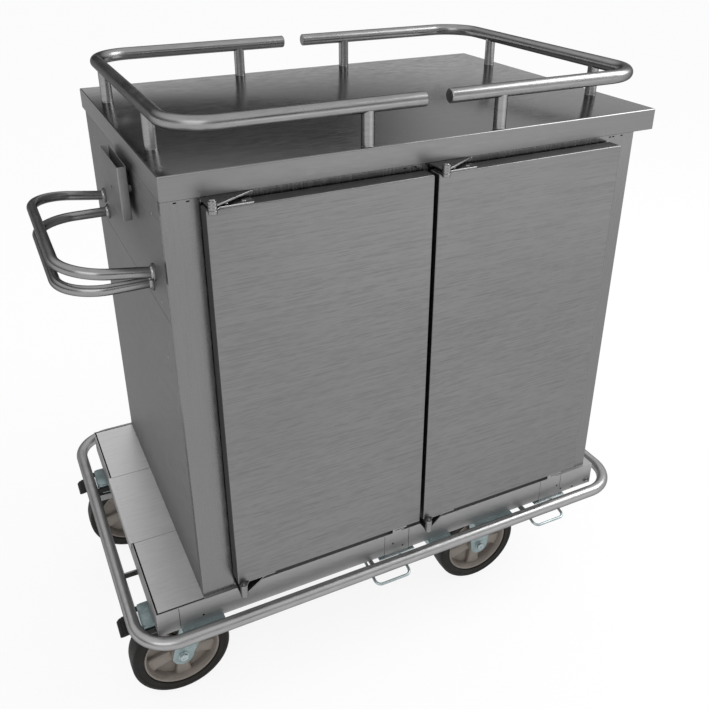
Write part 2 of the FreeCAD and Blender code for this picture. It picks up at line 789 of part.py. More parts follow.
def build_door(side):
    """Double-skinned door with a foam core, gasket, hinge leaves and latch strike."""
    left = f"{side}_door_place"
    right = f"{left} + door_width"
    wide = (left, right)
    deep = ("door_face", "door_back")
    tall = ("door_bottom", "door_top")

    def inset(span, amount):
        """Span with the same amount taken off both ends."""
        return f"{span[0]} + {amount}", f"{span[1]} - {amount}"

    inner_wide = inset(wide, "door_skin")
    inner_tall = inset(tall, "door_skin")
    stock = slab(f"{side}_door_stock", wide, deep, tall)
    hollow = slab(f"{side}_door_hollow", inner_wide, ("door_face + door_skin", "door_back"), inner_tall)
    part(cut(f"{side}_door_panel", stock, [hollow]), f"{side}_door_panel")
    core_y = ("door_face + door_skin", "door_back - door_skin")
    part(slab(f"{side}_door_core", inner_wide, core_y, inner_tall), f"{side}_door_core")
    inner_y = ("door_back - door_skin", "door_back")
    part(slab(f"{side}_door_inner_sheet", inner_wide, inner_y, inner_tall), f"{side}_door_inner_sheet")
    seal_y = ("door_back", "door_back + gasket_thickness")
    seal = slab(f"{side}_seal_stock", inset(wide, "gasket_inset"), seal_y, inset(tall, "gasket_inset"))
    inside = "(gasket_inset + gasket_width)"
    window = slab(f"{side}_seal_window", inset(wide, inside), seal_y, inset(tall, inside))
    part(cut(f"{side}_door_gasket", seal, [window]), f"{side}_door_gasket")
    pivot = f"{left} + hinge_inset"
    leaf_x = (f"{left} + door_skin", f"{left} + door_skin + hinge_leaf_length")
    leaf_y = ("door_face + door_skin", "door_face + door_skin + hinge_leaf_width")
    tongue_x = (f"{pivot} - hinge_eye / 2", f"{pivot} + hinge_eye")
    tongue_y = ("hinge_line", "door_face + hinge_leaf_width / 2")
    leaves = []
    for name, level, eye_start in (
        ("top", ("door_top", "door_top + hinge_leaf"), "door_top + hinge_leaf - hinge_eye_height"),
        ("bottom", ("door_bottom - hinge_leaf", "door_bottom"), "door_bottom - hinge_leaf"),
    ):
        label = f"{side}_{name}_leaf"
        pieces = [
            slab(label + "_flat", leaf_x, leaf_y, level),
            slab(label + "_tongue", tongue_x, tongue_y, level),
            rod(label + "_eye", "z", "hinge_eye / 2", "hinge_eye_height", pivot, "hinge_line", eye_start),
        ]
        bore = rod(
            label + "_bore",
            "z",
            "hinge_pin / 2 + running_gap",
            "hinge_eye_height",
            pivot,
            "hinge_line",
            eye_start,
        )
        leaves.append(cut(label, fuse(label + "_solid", pieces), [bore]))
    part(group(f"{side}_door_hinge_leaves", leaves), f"{side}_door_hinge_leaves")
    middle = f"{left} + latch_from_hinge_side"
    strike_x = (f"{middle} - strike_width / 2", f"{middle} + strike_width / 2")
    foot = slab(
        f"{side}_strike_foot",
        strike_x,
        ("door_face + strike_place - strike_plate", "door_back - strike_plate"),
        ("door_bottom - strike_plate", "door_bottom"),
    )
    tongue = slab(
        f"{side}_strike_tongue",
        strike_x,
        ("door_face + strike_place - strike_plate", "door_face + strike_place"),
        ("strike_bottom", "door_bottom"),
    )
    part(fuse(f"{side}_door_strike", [foot, tongue]), f"{side}_door_strike")


def build_hinge_arms():
    """Arms on the front frame that carry the doors, and the pins in their eyes."""
    arms = []
    pins = []
    top_arm = ("lip_bottom - seat_gap - hinge_arm", "lip_bottom - seat_gap")
    low_arm = ("base_top + hinge_arm_rise", "base_top + hinge_arm_rise + hinge_arm")
    top_eye = ("door_top + hinge_leaf + seat_gap", "lip_bottom + upper_eye_rise")
    low_eye = (f"{low_arm[0]} - lower_eye_drop", "door_bottom - hinge_leaf - seat_gap")
    top_pin = ("door_top + hinge_leaf - hinge_eye_height", top_eye[1])
    low_pin = (low_eye[0], "door_bottom - hinge_leaf + hinge_eye_height + pin_end")
    corners = (
        ("hinge_inset - hinge_eye / 2 + 0.5", "0"),
        ("hinge_inset + hinge_eye / 2 - 0.5", "0"),
        ("hinge_arm_length", "-hinge_line"),
        ("1", "-hinge_line"),
    )
    for side in ("left", "right"):
        left = f"{side}_door_place"
        pivot = f"{left} + hinge_inset"
        for name, arm, eye, foot, pin in (
            ("top", top_arm, top_eye, (f"{top_eye[0]}", top_arm[1]), top_pin),
            ("bottom", low_arm, low_eye, ("base_top", low_arm[1]), low_pin),
        ):
            label = f"{side}_{name}_arm"
            pieces = [
                plate(label + "_web", "XY_Plane", corners, "hinge_arm", x=left, y="hinge_line", z=arm[0]),
                slab(label + "_foot", (f"{left} + 1", f"{left} + hinge_arm_length"), ("-hinge_foot", "0"), foot),
                rod(label + "_eye", "z", "hinge_eye / 2", f"{eye[1]} - ({eye[0]})", pivot, "hinge_line", eye[0]),
            ]
            bore = rod(
                label + "_bore", "z", "hinge_pin / 2", f"{eye[1]} - ({eye[0]})", pivot, "hinge_line", eye[0]
            )
            arms.append(cut(label, fuse(label + "_solid", pieces), [bore]))
            shank = rod(
                label + "_shank", "z", "hinge_pin / 2", f"{pin[1]} - ({pin[0]})", pivot, "hinge_line", pin[0]
            )
            head_start = eye[1] if name == "top" else f"{eye[0]} - pin_head_height"
            head = rod(
                label + "_head", "z", "pin_head / 2", "pin_head_height", pivot, "hinge_line", head_start
            )
            pins.append(fuse(f"{side}_{name}_pin", [shank, head]))
    part(group("hinge_arms", arms), "hinge_arms")
    part(group("hinge_pins", pins), "hinge_pins")


# Foot latches

def build_latch(side):
    """Lever with the latch plate, and the treadle with its wire loop, of one door."""
    middle = f"{side}_door_place + latch_from_hinge_side"
    inner_face = "latch_face + latch_plate"
    face = slab(
        f"{side}_latch_face",
        (f"{middle} - lever_half", f"{middle} + lever_half"),
        ("latch_face", inner_face),
        ("treadle_top", "base_top"),
    )
    tab_x = (f"{middle} - latch_tab / 2", f"{middle} + latch_tab / 2")
    tab_top = "strike_bottom - latch_free"
    tab = slab(f"{side}_latch_tab", tab_x, ("latch_face", inner_face), ("base_top", tab_top))
    nose = slab(
        f"{side}_latch_nose", tab_x, ("latch_face - latch_nose", inner_face), (f"{tab_top} - latch_plate", tab_top)
    )
    pieces = [face, tab, nose]
    bores = []
    for name, start in (
        ("near", f"{middle} - lever_half"),
        ("far", f"{middle} + lever_half - lever_plate"),
    ):
        label = f"{side}_{name}_lever"
        pieces.append(
            slab(
                label + "_arm", (start, f"{start} + lever_plate"), (inner_face, "pivot_place"),
                ("treadle_top", "pivot_height"),
            )
        )
        pieces.append(
            rod(label + "_hub", "x", "pivot_hub / 2", "lever_plate", start, "pivot_place", "pivot_height")
        )
        bores.append(
            rod(
                label + "_bore", "x", "pivot_pin / 2 + running_gap", "lever_plate", start, "pivot_place",
                "pivot_height",
            )
        )
    part(cut(f"{side}_latch_lever", fuse(f"{side}_lever_solid", pieces), bores), f"{side}_latch_lever")
    treadle = slab(
        f"{side}_treadle_plate",
        (f"{middle} - treadle_width / 2", f"{middle} + treadle_width / 2"),
        ("-treadle_front", "treadle_back"),
        ("treadle_height", "treadle_top"),
    )
    wire = fuse(f"{side}_wire", loop(f"{side}_wire", "wire / 2", "wire_span", "wire_length", "wire_bend"))
    on_cart(
        turn(wire, "x", "wire_slope"),
        f"{middle} - wire_shift - wire_span / 2",
        "wire_back - wire_length * cos(wire_slope * 1 deg)",
        "treadle_height - wire / 4 - wire_length * sin(wire_slope * 1 deg)",
    )
    part(fuse(f"{side}_pedal", [treadle, wire]), f"{side}_pedal")


def build_latch_bearers():
    """Hangers with a pin under the base pan for each latch lever, and the return springs."""
    bearers = []
    springs = []
    deep = ("pivot_place - bearer_width / 2", "pivot_place + bearer_width / 2")
    under = "base_top - base_sheet"
    low = "pivot_height - pivot_hub / 2"
    for side in ("left", "right"):
        middle = f"{side}_door_place + latch_from_hinge_side"
        outer = "(lever_half + bearer_gap + bearer_plate)"
        inner = "(lever_half + bearer_gap)"
        bearers.append(
            fuse(
                f"{side}_bearer",
                [
                    slab(
                        f"{side}_bearer_top",
                        (f"{middle} - {outer}", f"{middle} + {outer}"),
                        deep,
                        (f"{under} - bearer_plate", under),
                    ),
                    slab(f"{side}_bearer_near", (f"{middle} - {outer}", f"{middle} - {inner}"), deep, (low, under)),
                    slab(f"{side}_bearer_far", (f"{middle} + {inner}", f"{middle} + {outer}"), deep, (low, under)),
                    rod(
                        f"{side}_bearer_pin", "x", "pivot_pin / 2", f"2 * {outer}",
                        f"{middle} - {outer}", "pivot_place", "pivot_height",
                    ),
                ],
            )
        )
        coil = doc.addObject("Part::Helix", f"{side}_spring_line")
        bind(
            coil,
            Pitch="spring_pitch",
            Height="spring_length",
            Radius="pivot_pin / 2 + seat_gap + spring_wire / 2",
        )
        section = doc.addObject("Part::Circle", f"{side}_spring_section")
        bind(section, Radius="spring_wire / 2")
        section.Placement.Rotation = FreeCAD.Rotation(FreeCAD.Vector(1, 0, 0), 90)
        shift(section, "pivot_pin / 2 + seat_gap + spring_wire / 2")
        spring = doc.addObject("Part::Sweep", f"{side}_spring")
        spring.Sections = [section]
        spring.Spine = (coil, ["Edge1"])
        spring.Solid = True
        spring.Frenet = True
        spring.Placement.Rotation = FreeCAD.Rotation(FreeCAD.Vector(0, 1, 0), 90)
        springs.append(on_cart(spring, f"{middle} - spring_length / 2", "pivot_place", "pivot_height"))
    part(group("latch_bearers", bearers), "latch_bearers")
    part(group("latch_springs", springs), "latch_springs")


# Casters and wheels

ROWS = (("front", "wheel_inset"), ("rear", "rear_wheel_place"))


def build_wheel(label, x, y):
    """Rim with spokes in front of and behind a thin web, and a rubber tyre."""
    half = "wheel_width / 2"
    tyre = turned(
        f"{label}_tyre",
        (
            ("rim_diameter / 2", "0"),
            ("axle_height - tyre_shoulder", "0"),
            ("axle_height", "tyre_shoulder"),
            ("axle_height", "wheel_width - tyre_shoulder"),
            ("axle_height - tyre_shoulder", "wheel_width"),
            ("rim_diameter / 2", "wheel_width"),
        ),
        x=x,
        y=f"{y} - {half}",
        z="axle_height",
    )
    part(tyre, f"{label}_tyre")
    start = f"{y} - hub_width / 2"
    hub = rod(f"{label}_hub", "y", "hub_diameter / 2", "hub_width", x, start, "axle_height")
    inside = "rim_diameter / 2 - rim_ring / 2"
    web = rod(f"{label}_web", "y", inside, "rim_web", x, f"{y} - rim_web / 2", "axle_height")
    spoke_y = f"{y} - spoke_depth / 2"
    disc = rod(f"{label}_spoke_disc", "y", inside, "spoke_depth", x, spoke_y, "axle_height")
    rim_y = f"{y} - rim_width / 2"
    ring = cut(
        f"{label}_ring",
        rod(f"{label}_ring_outside", "y", "rim_diameter / 2", "rim_width", x, rim_y, "axle_height"),
        [rod(f"{label}_ring_inside", "y", "rim_diameter / 2 - rim_ring", "rim_width", x, rim_y, "axle_height")],
    )
    bore = rod(f"{label}_hub_bore", "y", "axle_diameter / 2 + running_gap", "hub_width", x, start, "axle_height")
    windows = []
    corners = (
        ("window_start", "-window_root"),
        ("window_end", "-window_rim"),
        ("window_end", "window_rim"),
        ("window_start", "window_root"),
    )
    for index in range(int(size_of("window_count"))):
        window = plate(
            f"{label}_window_{index}", "XZ_Plane", corners, "spoke_depth", x=x, y=spoke_y, z="axle_height"
        )
        windows.append(turn(window, "y", f"{index} * 360 / window_count"))
    spokes = cut(f"{label}_spokes", disc, windows)
    part(cut(f"{label}_rim", fuse(f"{label}_rim_solid", [hub, web, spokes, ring]), [bore]), f"{label}_rim")


def axle(label, x, y):
    """Bolt through a fork and its wheel, with a head and a nut."""
    half = "(fork_half + fork_plate)"
    return fuse(
        label,
        [
            rod(label + "_shank", "y", "axle_diameter / 2", f"2 * {half}", x, f"{y} - {half}", "axle_height"),
            rod(
                label + "_bolt_head", "y", "axle_head / 2", "axle_head_height", x,
                f"{y} - {half} - axle_head_height", "axle_height",
            ),
            rod(label + "_nut", "y", "axle_head / 2", "axle_head_height", x, f"{y} + {half}", "axle_height"),
        ],
    )


def fork_legs(label, x, y, foot_left, top_left, top_level):
    """Two plates beside a wheel, from a round foot at the axle up to a level."""
    height = f"{top_level} - axle_height"
    corners = (
        (foot_left, "0"),
        (f"{foot_left} + fork_foot", "0"),
        (f"{top_left} + fork_top", height),
        (top_left, height),
    )
    legs = []
    bores = []
    left = f"{x} - ({foot_left}) - fork_foot / 2"
    for name, start in (("near", f"{y} - fork_half - fork_plate"), ("far", f"{y} + fork_half")):
        web = plate(f"{label}_{name}_web", "XZ_Plane", corners, "fork_plate", x=left, y=start, z="axle_height")
        foot = rod(f"{label}_{name}_foot", "y", "fork_foot / 2", "fork_plate", x, start, "axle_height")
        legs += [web, foot]
        bores.append(
            rod(
                f"{label}_{name}_bore", "y", "axle_diameter / 2 + running_gap", "fork_plate", x, start, "axle_height"
            )
        )
    return legs, bores


def caster_flange(label, x, y):
    """Top plate of a caster, against the underside of its beam."""
    return slab(
        label + "_flange",
        (f"{x} - caster_plate_length / 2", f"{x} + caster_plate_length / 2"),
        (f"{y} - caster_plate_width / 2", f"{y} + caster_plate_width / 2"),
        ("plate_bottom", "caster_height"),
    )


def build_casters():
    """Two swivel casters with brakes at the handle end and two fixed casters."""
    plates = []
    fixed = []
    bolts = []
    for row, y in ROWS:
        pivot = "swivel_place"
        hub = "swivel_place - swivel_trail"
        race_bottom = "plate_bottom - race_height"
        label = f"{row}_swivel"
        crown_top = f"{race_bottom} - seat_gap"
        crown_bottom = f"{crown_top} - fork_plate"
        nut_bottom = f"{crown_bottom} - seat_gap - king_nut_height"
        pin_length = f"caster_height - ({nut_bottom})"
        plates.append(
            fuse(
                label + "_plate",
                [
                    caster_flange(label, pivot, y),
                    rod(label + "_race", "z", "race_diameter / 2", "race_height", pivot, y, race_bottom),
                    rod(label + "_king_pin", "z", "king_pin / 2", pin_length, pivot, y, nut_bottom),
                    rod(label + "_king_nut", "z", "king_nut / 2", "king_nut_height", pivot, y, nut_bottom),
                ],
            )
        )
        crown = swivel_crown(label, pivot, y, crown_top)
        legs, bores = fork_legs(
            label, hub, y, "0", "swivel_trail + fork_foot / 2 - fork_top / 2", crown_top
        )
        bores.append(
            rod(label + "_crown_bore", "z", "king_pin / 2 + running_gap", "fork_plate", pivot, y, crown_bottom)
        )
        legs += brake_pins(label, y)
        part(cut(label + "_fork", fuse(label + "_fork_solid", crown + legs), bores), label + "_fork")
        part(axle(label + "_axle", hub, y), label + "_axle")
        build_brake(row, y)
        build_wheel(f"{row}_swivel", hub, y)
        place = "fixed_wheel_place"
        label = f"{row}_fixed"
        legs, bores = fork_legs(label, place, y, "(fork_top - fork_foot) / 2", "0", "caster_height")
        flange = caster_flange(label, place, y)
        fixed.append(cut(label + "_fork", fuse(label + "_fork_solid", [flange] + legs), bores))
        bolts.append(axle(label + "_axle", place, y))
        build_wheel(label, place, y)
    part(group("swivel_plates", plates), "swivel_plates")
    part(group("fixed_forks", fixed), "fixed_forks")
    part(group("fixed_axles", bolts), "fixed_axles")


def swivel_crown(label, pivot, y, top):
    """Top plate of a swivel fork, folded down behind the wheel and beside it to carry the brake."""
    outside = "(fork_half + fork_plate)"
    wide = (f"{y} - {outside}", f"{y} + {outside}")
    left = f"{pivot} - hood_reach"
    low = f"{top} - hood_drop"
    return [
        slab(label + "_crown", (left, f"{pivot} + fork_top / 2"), wide, (f"{top} - fork_plate", top)),
        slab(label + "_hood_end", (left, f"{left} + fork_plate"), wide, (low, top)),
        slab(label + "_near_cheek", (left, f"{pivot} - fork_top / 2"), (wide[0], f"{y} - fork_half"), (low, top)),
        slab(label + "_far_cheek", (left, f"{pivot} - fork_top / 2"), (f"{y} + fork_half", wide[1]), (low, top)),
    ]


def brake_pins(label, y):
    """Stub pins on the outer faces of a swivel fork that the brake pedal turns on."""
    reach = "(seat_gap + brake_arm)"
    outside = "(fork_half + fork_plate)"
    return [
        rod(
            f"{label}_brake_pin_{name}", "y", "brake_pin / 2", f"{reach} + fork_plate", "-brake_place", start,
            "brake_pin_height",
        )
        for name, start in (
            ("near", f"{y} - {outside} - {reach}"),
            ("far", f"{y} + {outside} - fork_plate"),
        )
    ]


def build_brake(row, y):
    """Brake pedal: two arms outside the fork, a bar that joins them and a pad for the foot."""
    label = f"{row}_brake"
    inner = "(fork_half + fork_plate + seat_gap)"
    outer = "(fork_half + fork_plate + seat_gap + brake_arm)"
    tip = "-brake_place - brake_length"
    pad_end = f"{tip} + brake_pad_length"
    low = "brake_pin_height - brake_arm_height / 2"
    arm_z = (low, "brake_pin_height + brake_arm_height / 2")
    arm_start = f"{pad_end} - brake_bar"
    pieces = [
        slab(
            label + "_pad",
            (tip, pad_end),
            (f"{y} - brake_pad_width / 2", f"{y} + brake_pad_width / 2"),
            (low, f"{low} + brake_pad_thickness"),
        ),
        slab(label + "_bar", (arm_start, pad_end), (f"{y} - {outer}", f"{y} + {outer}"), arm_z),
    ]
    bores = []
    for name, start in (("near", f"{y} - {outer}"), ("far", f"{y} + {inner}")):
        pieces.append(
            slab(f"{label}_{name}_arm", (arm_start, "-brake_place"), (start, f"{start} + brake_arm"), arm_z)
        )
        pieces.append(
            rod(
                f"{label}_{name}_hub", "y", "brake_arm_height / 2", "brake_arm", "-brake_place", start,
                "brake_pin_height",
            )
        )
        bores.append(
            rod(
                f"{label}_{name}_bore", "y", "brake_pin / 2 + running_gap", "brake_arm", "-brake_place", start,
                "brake_pin_height",
            )
        )
    part(cut(label, fuse(label + "_solid", pieces), bores), f"{row}_brake_pedal")


build_base()
build_bumper()
build_body()
build_counter()
build_handle()
build_holder()
build_rivets()
for side in ("left", "right"):
    build_door(side)
    build_latch(side)
build_hinge_arms()
build_latch_bearers()
build_casters()
doc.recompute()

failed = [thing.Name for thing in doc.Objects if {"Invalid", "Error"} & set(thing.State)]
failed += [thing.Label for thing in PARTS if thing.Shape.isNull() or not thing.Shape.isValid()]
if failed:
    raise RuntimeError("not built: " + ", ".join(failed))

os.makedirs("parts", exist_ok=True)
for thing in PARTS:
    thing.Shape.exportStep(f"parts/{thing.Label}.step")
print(len(PARTS), "sub-parts written")
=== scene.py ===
"""Looks of an enclosed meal tray cart: brushed sheet, bent tube, doors, casters and foot catches.

Places are given in millimetres from the front left corner of the countertop, above the floor: X runs
along the front away from the push handle, Y towards the rear, Z up. ``Origin`` turns them into the
frame's metres. Every surface is worked out with numpy and put into a mesh as whole arrays.
"""

import json
import logging
import math
from dataclasses import dataclass, field
from enum import Enum

import bmesh
import bpy
import numpy as np
from mathutils import Euler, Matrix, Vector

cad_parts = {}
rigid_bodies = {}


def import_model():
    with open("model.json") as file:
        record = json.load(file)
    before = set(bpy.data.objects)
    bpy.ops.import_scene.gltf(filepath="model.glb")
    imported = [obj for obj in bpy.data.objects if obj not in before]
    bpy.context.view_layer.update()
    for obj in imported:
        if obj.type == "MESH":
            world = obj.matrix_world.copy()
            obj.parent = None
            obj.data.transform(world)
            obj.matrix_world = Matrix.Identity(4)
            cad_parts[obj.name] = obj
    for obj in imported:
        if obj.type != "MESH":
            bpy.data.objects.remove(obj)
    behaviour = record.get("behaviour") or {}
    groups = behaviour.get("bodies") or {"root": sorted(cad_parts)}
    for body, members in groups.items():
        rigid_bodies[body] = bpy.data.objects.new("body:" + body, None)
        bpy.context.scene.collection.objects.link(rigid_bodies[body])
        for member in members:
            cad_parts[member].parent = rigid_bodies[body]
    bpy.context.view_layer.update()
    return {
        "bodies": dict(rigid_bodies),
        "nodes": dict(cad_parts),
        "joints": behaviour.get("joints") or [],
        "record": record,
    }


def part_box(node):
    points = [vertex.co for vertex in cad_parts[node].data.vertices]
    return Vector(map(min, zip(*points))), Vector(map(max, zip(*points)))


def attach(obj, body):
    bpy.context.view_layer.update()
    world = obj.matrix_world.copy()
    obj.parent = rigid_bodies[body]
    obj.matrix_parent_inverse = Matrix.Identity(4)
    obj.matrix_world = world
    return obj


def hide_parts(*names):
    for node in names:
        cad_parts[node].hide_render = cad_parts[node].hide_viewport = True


logging.basicConfig(level=logging.INFO, format="%(message)s")
log = logging.getLogger("meal_tray_cart")

MM = 0.001


class Axis(Enum):
    """One of the three axes of the cart, as the column number of a point array."""

    X = 0
    Y = 1
    Z = 2


# ---------------------------------------------------------------- finishes


class Nodes:
    """Short way to add and link the nodes of one material."""

    def __init__(self, name: str) -> None:
        """Start a material with a Principled shader.

        Args:
            name: Name of the material.
        """
        self.material = bpy.data.materials.new(name)
        self.material.use_nodes = True
        self.tree = self.material.node_tree
        self.shader = self.tree.nodes["Principled BSDF"]

    def add(self, kind: str, **settings: object) -> bpy.types.Node:
        """Add a node.

        Args:
            kind: Node type, such as ShaderNodeTexNoise.
            settings: Attributes of the node, or values of its inputs by input name.

        Returns:
            The new node.
        """
        node = self.tree.nodes.new(kind)
        for key, value in settings.items():
            if hasattr(node, key):
                setattr(node, key, value)
            else:
                node.inputs[key.replace("_", " ")].default_value = value
        return node

    def link(self, source: bpy.types.NodeSocket, target: bpy.types.NodeSocket) -> None:
        """Join an output socket to an input socket."""
        self.tree.links.new(source, target)

    def constants(self, **values: object) -> None:
        """Set the shader's own sockets, with underscores for the spaces in their names."""
        for key, value in values.items():
            self.shader.inputs[key.replace("_", " ")].default_value = value

    def noise(
        self, scale: tuple[float, float, float], detail: float = 3.0, roughness: float = 0.55
    ) -> bpy.types.Node:
        """Noise on object coordinates, stretched by a scale for each axis.

        Args:
            scale: Number of grains in a metre along each axis.
            detail: Octaves of the noise.
            roughness: How much the finer octaves count.

        Returns:
            The noise node.
        """
        place = self.add("ShaderNodeTexCoord")
        stretch = self.add("ShaderNodeMapping")
        stretch.inputs["Scale"].default_value = scale
        texture = self.add("ShaderNodeTexNoise", Scale=1.0, Detail=detail, Roughness=roughness)
        self.link(place.outputs["Object"], stretch.inputs["Vector"])
        self.link(stretch.outputs["Vector"], texture.inputs["Vector"])
        return texture

    def remap(
        self, source: bpy.types.NodeSocket, low: float, high: float, edges: tuple[float, float] = (0.3, 0.7)
    ) -> bpy.types.Node:
        """Map a noise value to a range.

        Args:
            source: Socket with the value.
            low: Result at the lower edge.
            high: Result at the upper edge.
            edges: Values of the source that reach low and high.

        Returns:
            The map range node.
        """
        node = self.add("ShaderNodeMapRange")
        node.inputs["From Min"].default_value = edges[0]
        node.inputs["From Max"].default_value = edges[1]
        node.inputs["To Min"].default_value = low
        node.inputs["To Max"].default_value = high
        self.link(source, node.inputs["Value"])
        return node

    def mix(self, factor: bpy.types.NodeSocket, first: object, second: object) -> bpy.types.Node:
        """Mix two colours.

        Args:
            factor: Socket with the share of the second colour.
            first: Colour, or a socket with a colour.
            second: Colour, or a socket with a colour.

        Returns:
            The mix node.
        """
        node = self.add("ShaderNodeMix", data_type="RGBA")
        self.link(factor, node.inputs[0])
        for socket, value in ((node.inputs[6], first), (node.inputs[7], second)):
            if isinstance(value, bpy.types.NodeSocket):
                self.link(value, socket)
            else:
                socket.default_value = value
        return node

    def most(self, first: bpy.types.NodeSocket, second: bpy.types.NodeSocket) -> bpy.types.Node:
        """The greater of two values."""
        node = self.add("ShaderNodeMath", operation="MAXIMUM")
        self.link(first, node.inputs[0])
        self.link(second, node.inputs[1])
        return node

    def relief(self, height: bpy.types.NodeSocket, depth: float, strength: float) -> None:
        """Raise the surface by a height map.

        Args:
            height: Socket with the height, from 0 to 1.
            depth: Depth of the relief in metres.
            strength: Strength of the relief.
        """
        bump = self.add("ShaderNodeBump", Strength=strength, Distance=depth)
        self.link(height, bump.inputs["Height"])
        self.link(bump.outputs["Normal"], self.shader.inputs["Normal"])


def grey(level: float, warmth: float = 0.0) -> tuple[float, float, float, float]:
    """Linear grey with a little warmth, as red, green, blue and alpha."""
    return (level * (1 + warmth), level, level * (1 - warmth), 1.0)


def stretched(along: Axis, grain: float, across: float) -> tuple[float, float, float]:
    """Noise scale with one value along an axis and another across it."""
    return tuple(grain if axis is along else across for axis in Axis)


@dataclass(frozen=True)
class BrushedSheet:
    """Stainless sheet: fine brush lines along one axis, short ripples in the polish and faint clouds.

    Level is the sheet's grey, with painted light and shade in it: on some parts it is set brighter and on
    some darker than the metal, to the tone their light gives them. Edge is the tint of its grazing
    reflections, and drawn says how far the reflections are drawn out along the grain.
    """

    name: str
    level: float = 0.25
    grain: Axis = Axis.X
    rough: float = 0.34
    contrast: float = 0.16
    edge: float = 0.5
    drawn: float = 0.0

    def make(self) -> bpy.types.Material:
        """Build the material and return it."""
        nodes = Nodes(self.name)
        nodes.constants(Metallic=1.0, Specular_Tint=grey(self.edge), Anisotropic=self.drawn)
        if self.drawn:
            way = nodes.add("ShaderNodeCombineXYZ", **{self.grain.name: 1.0})
            nodes.link(way.outputs[0], nodes.shader.inputs["Tangent"])
        lines = nodes.noise(stretched(self.grain, 9.0, 900.0), 3.0, 0.6)
        ripple = nodes.noise(stretched(self.grain, 42.0, 230.0), 2.0, 0.5)
        cloud = nodes.noise((2.6, 2.2, 2.9), 2.0)
        low, high = self.level * (1 - self.contrast), self.level * (1 + self.contrast)
        fine = nodes.mix(nodes.remap(lines.outputs["Fac"], 0.0, 1.0).outputs[0], grey(low), grey(high))
        broad = nodes.mix(
            nodes.remap(ripple.outputs["Fac"], 0.0, 0.6, (0.42, 0.62)).outputs[0], fine.outputs[2], grey(high)
        )
        hazy = nodes.mix(
            nodes.remap(cloud.outputs["Fac"], 0.0, 0.3).outputs[0], broad.outputs[2], grey(low, 0.01)
        )
        nodes.link(hazy.outputs[2], nodes.shader.inputs["Base Color"])
        rough = nodes.remap(ripple.outputs["Fac"], self.rough - 0.04, self.rough + 0.06)
        nodes.link(rough.outputs[0], nodes.shader.inputs["Roughness"])
        nodes.relief(lines.outputs["Fac"], 0.00006, 0.15)
        return nodes.material


@dataclass(frozen=True)
class PolishedTube:
    """Bent stainless tube: bright, with fine polishing streaks along its runs."""

    name: str
    level: float = 0.3
    rough: float = 0.24
    edge: float = 0.22

    def make(self) -> bpy.types.Material:
        """Build the material and return it."""
        nodes = Nodes(self.name)
        nodes.constants(Metallic=1.0, Specular_Tint=grey(self.edge))
        streaks = nodes.noise((40.0, 40.0, 260.0), 3.0)
        marks = nodes.noise((9.0, 9.0, 14.0), 3.0, 0.6)
        tint = nodes.mix(
            nodes.remap(
                streaks.outputs["Fac"], 0.0, 1.0
            ).outputs[0], grey(self.level * 0.92), grey(self.level * 1.08)
        )
        nodes.link(tint.outputs[2], nodes.shader.inputs["Base Color"])
        rough = nodes.remap(marks.outputs["Fac"], self.rough - 0.03, self.rough + 0.1)
        nodes.link(rough.outputs[0], nodes.shader.inputs["Roughness"])
        nodes.relief(streaks.outputs["Fac"], 0.00005, 0.1)
        return nodes.material


@dataclass(frozen=True)
class ZincPlate:
    """Zinc plated steel: cool grey-green with small crystals and dull patches."""

    name: str
    colour: tuple[float, float, float, float] = (0.27, 0.335, 0.345, 1.0)
    rough: float = 0.3

    def make(self) -> bpy.types.Material:
        """Build the material and return it."""
        nodes = Nodes(self.name)
        nodes.constants(Metallic=0.85)
        crystals = nodes.add("ShaderNodeTexVoronoi", Scale=210.0)
        place = nodes.add("ShaderNodeTexCoord")
        nodes.link(place.outputs["Object"], crystals.inputs["Vector"])
        patches = nodes.noise((38.0, 38.0, 38.0), 4.0, 0.6)
        dull = tuple(0.72 * part for part in self.colour[:3]) + (1.0,)
        pale = tuple(1.22 * part for part in self.colour[:3]) + (1.0,)
        tone = nodes.mix(
            nodes.remap(crystals.outputs["Distance"], 0.0, 1.0, (0.1, 0.7)).outputs[0], pale, self.colour
        )
        worn = nodes.mix(nodes.remap(patches.outputs["Fac"], 0.0, 0.8).outputs[0], tone.outputs[2], dull)
        nodes.link(worn.outputs[2], nodes.shader.inputs["Base Color"])
        rough = nodes.remap(patches.outputs["Fac"], self.rough - 0.05, self.rough + 0.2)
        nodes.link(rough.outputs[0], nodes.shader.inputs["Roughness"])
        nodes.relief(patches.outputs["Fac"], 0.0001, 0.15)
        return nodes.material


@dataclass(frozen=True)
class CastGrey:
    """Warm grey cast or moulded metal of the wheel rims, with a fine grainy skin."""

    name: str
    colour: tuple[float, float, float, float] = (0.2, 0.175, 0.155, 1.0)

    def make(self) -> bpy.types.Material:
        """Build the material and return it."""
        nodes = Nodes(self.name)
        nodes.constants(Metallic=0.25)
        skin = nodes.noise((900.0, 900.0, 900.0), 2.0)
        dirt = nodes.noise((24.0, 24.0, 24.0), 4.0, 0.65)
        dusty = tuple(1.35 * part for part in self.colour[:3]) + (1.0,)
        tone = nodes.mix(nodes.remap(dirt.outputs["Fac"], 0.0, 0.7).outputs[0], self.colour, dusty)
        nodes.link(tone.outputs[2], nodes.shader.inputs["Base Color"])
        rough = nodes.remap(dirt.outputs["Fac"], 0.42, 0.6)
        nodes.link(rough.outputs[0], nodes.shader.inputs["Roughness"])
        nodes.relief(skin.outputs["Fac"], 0.0001, 0.25)
        return nodes.material


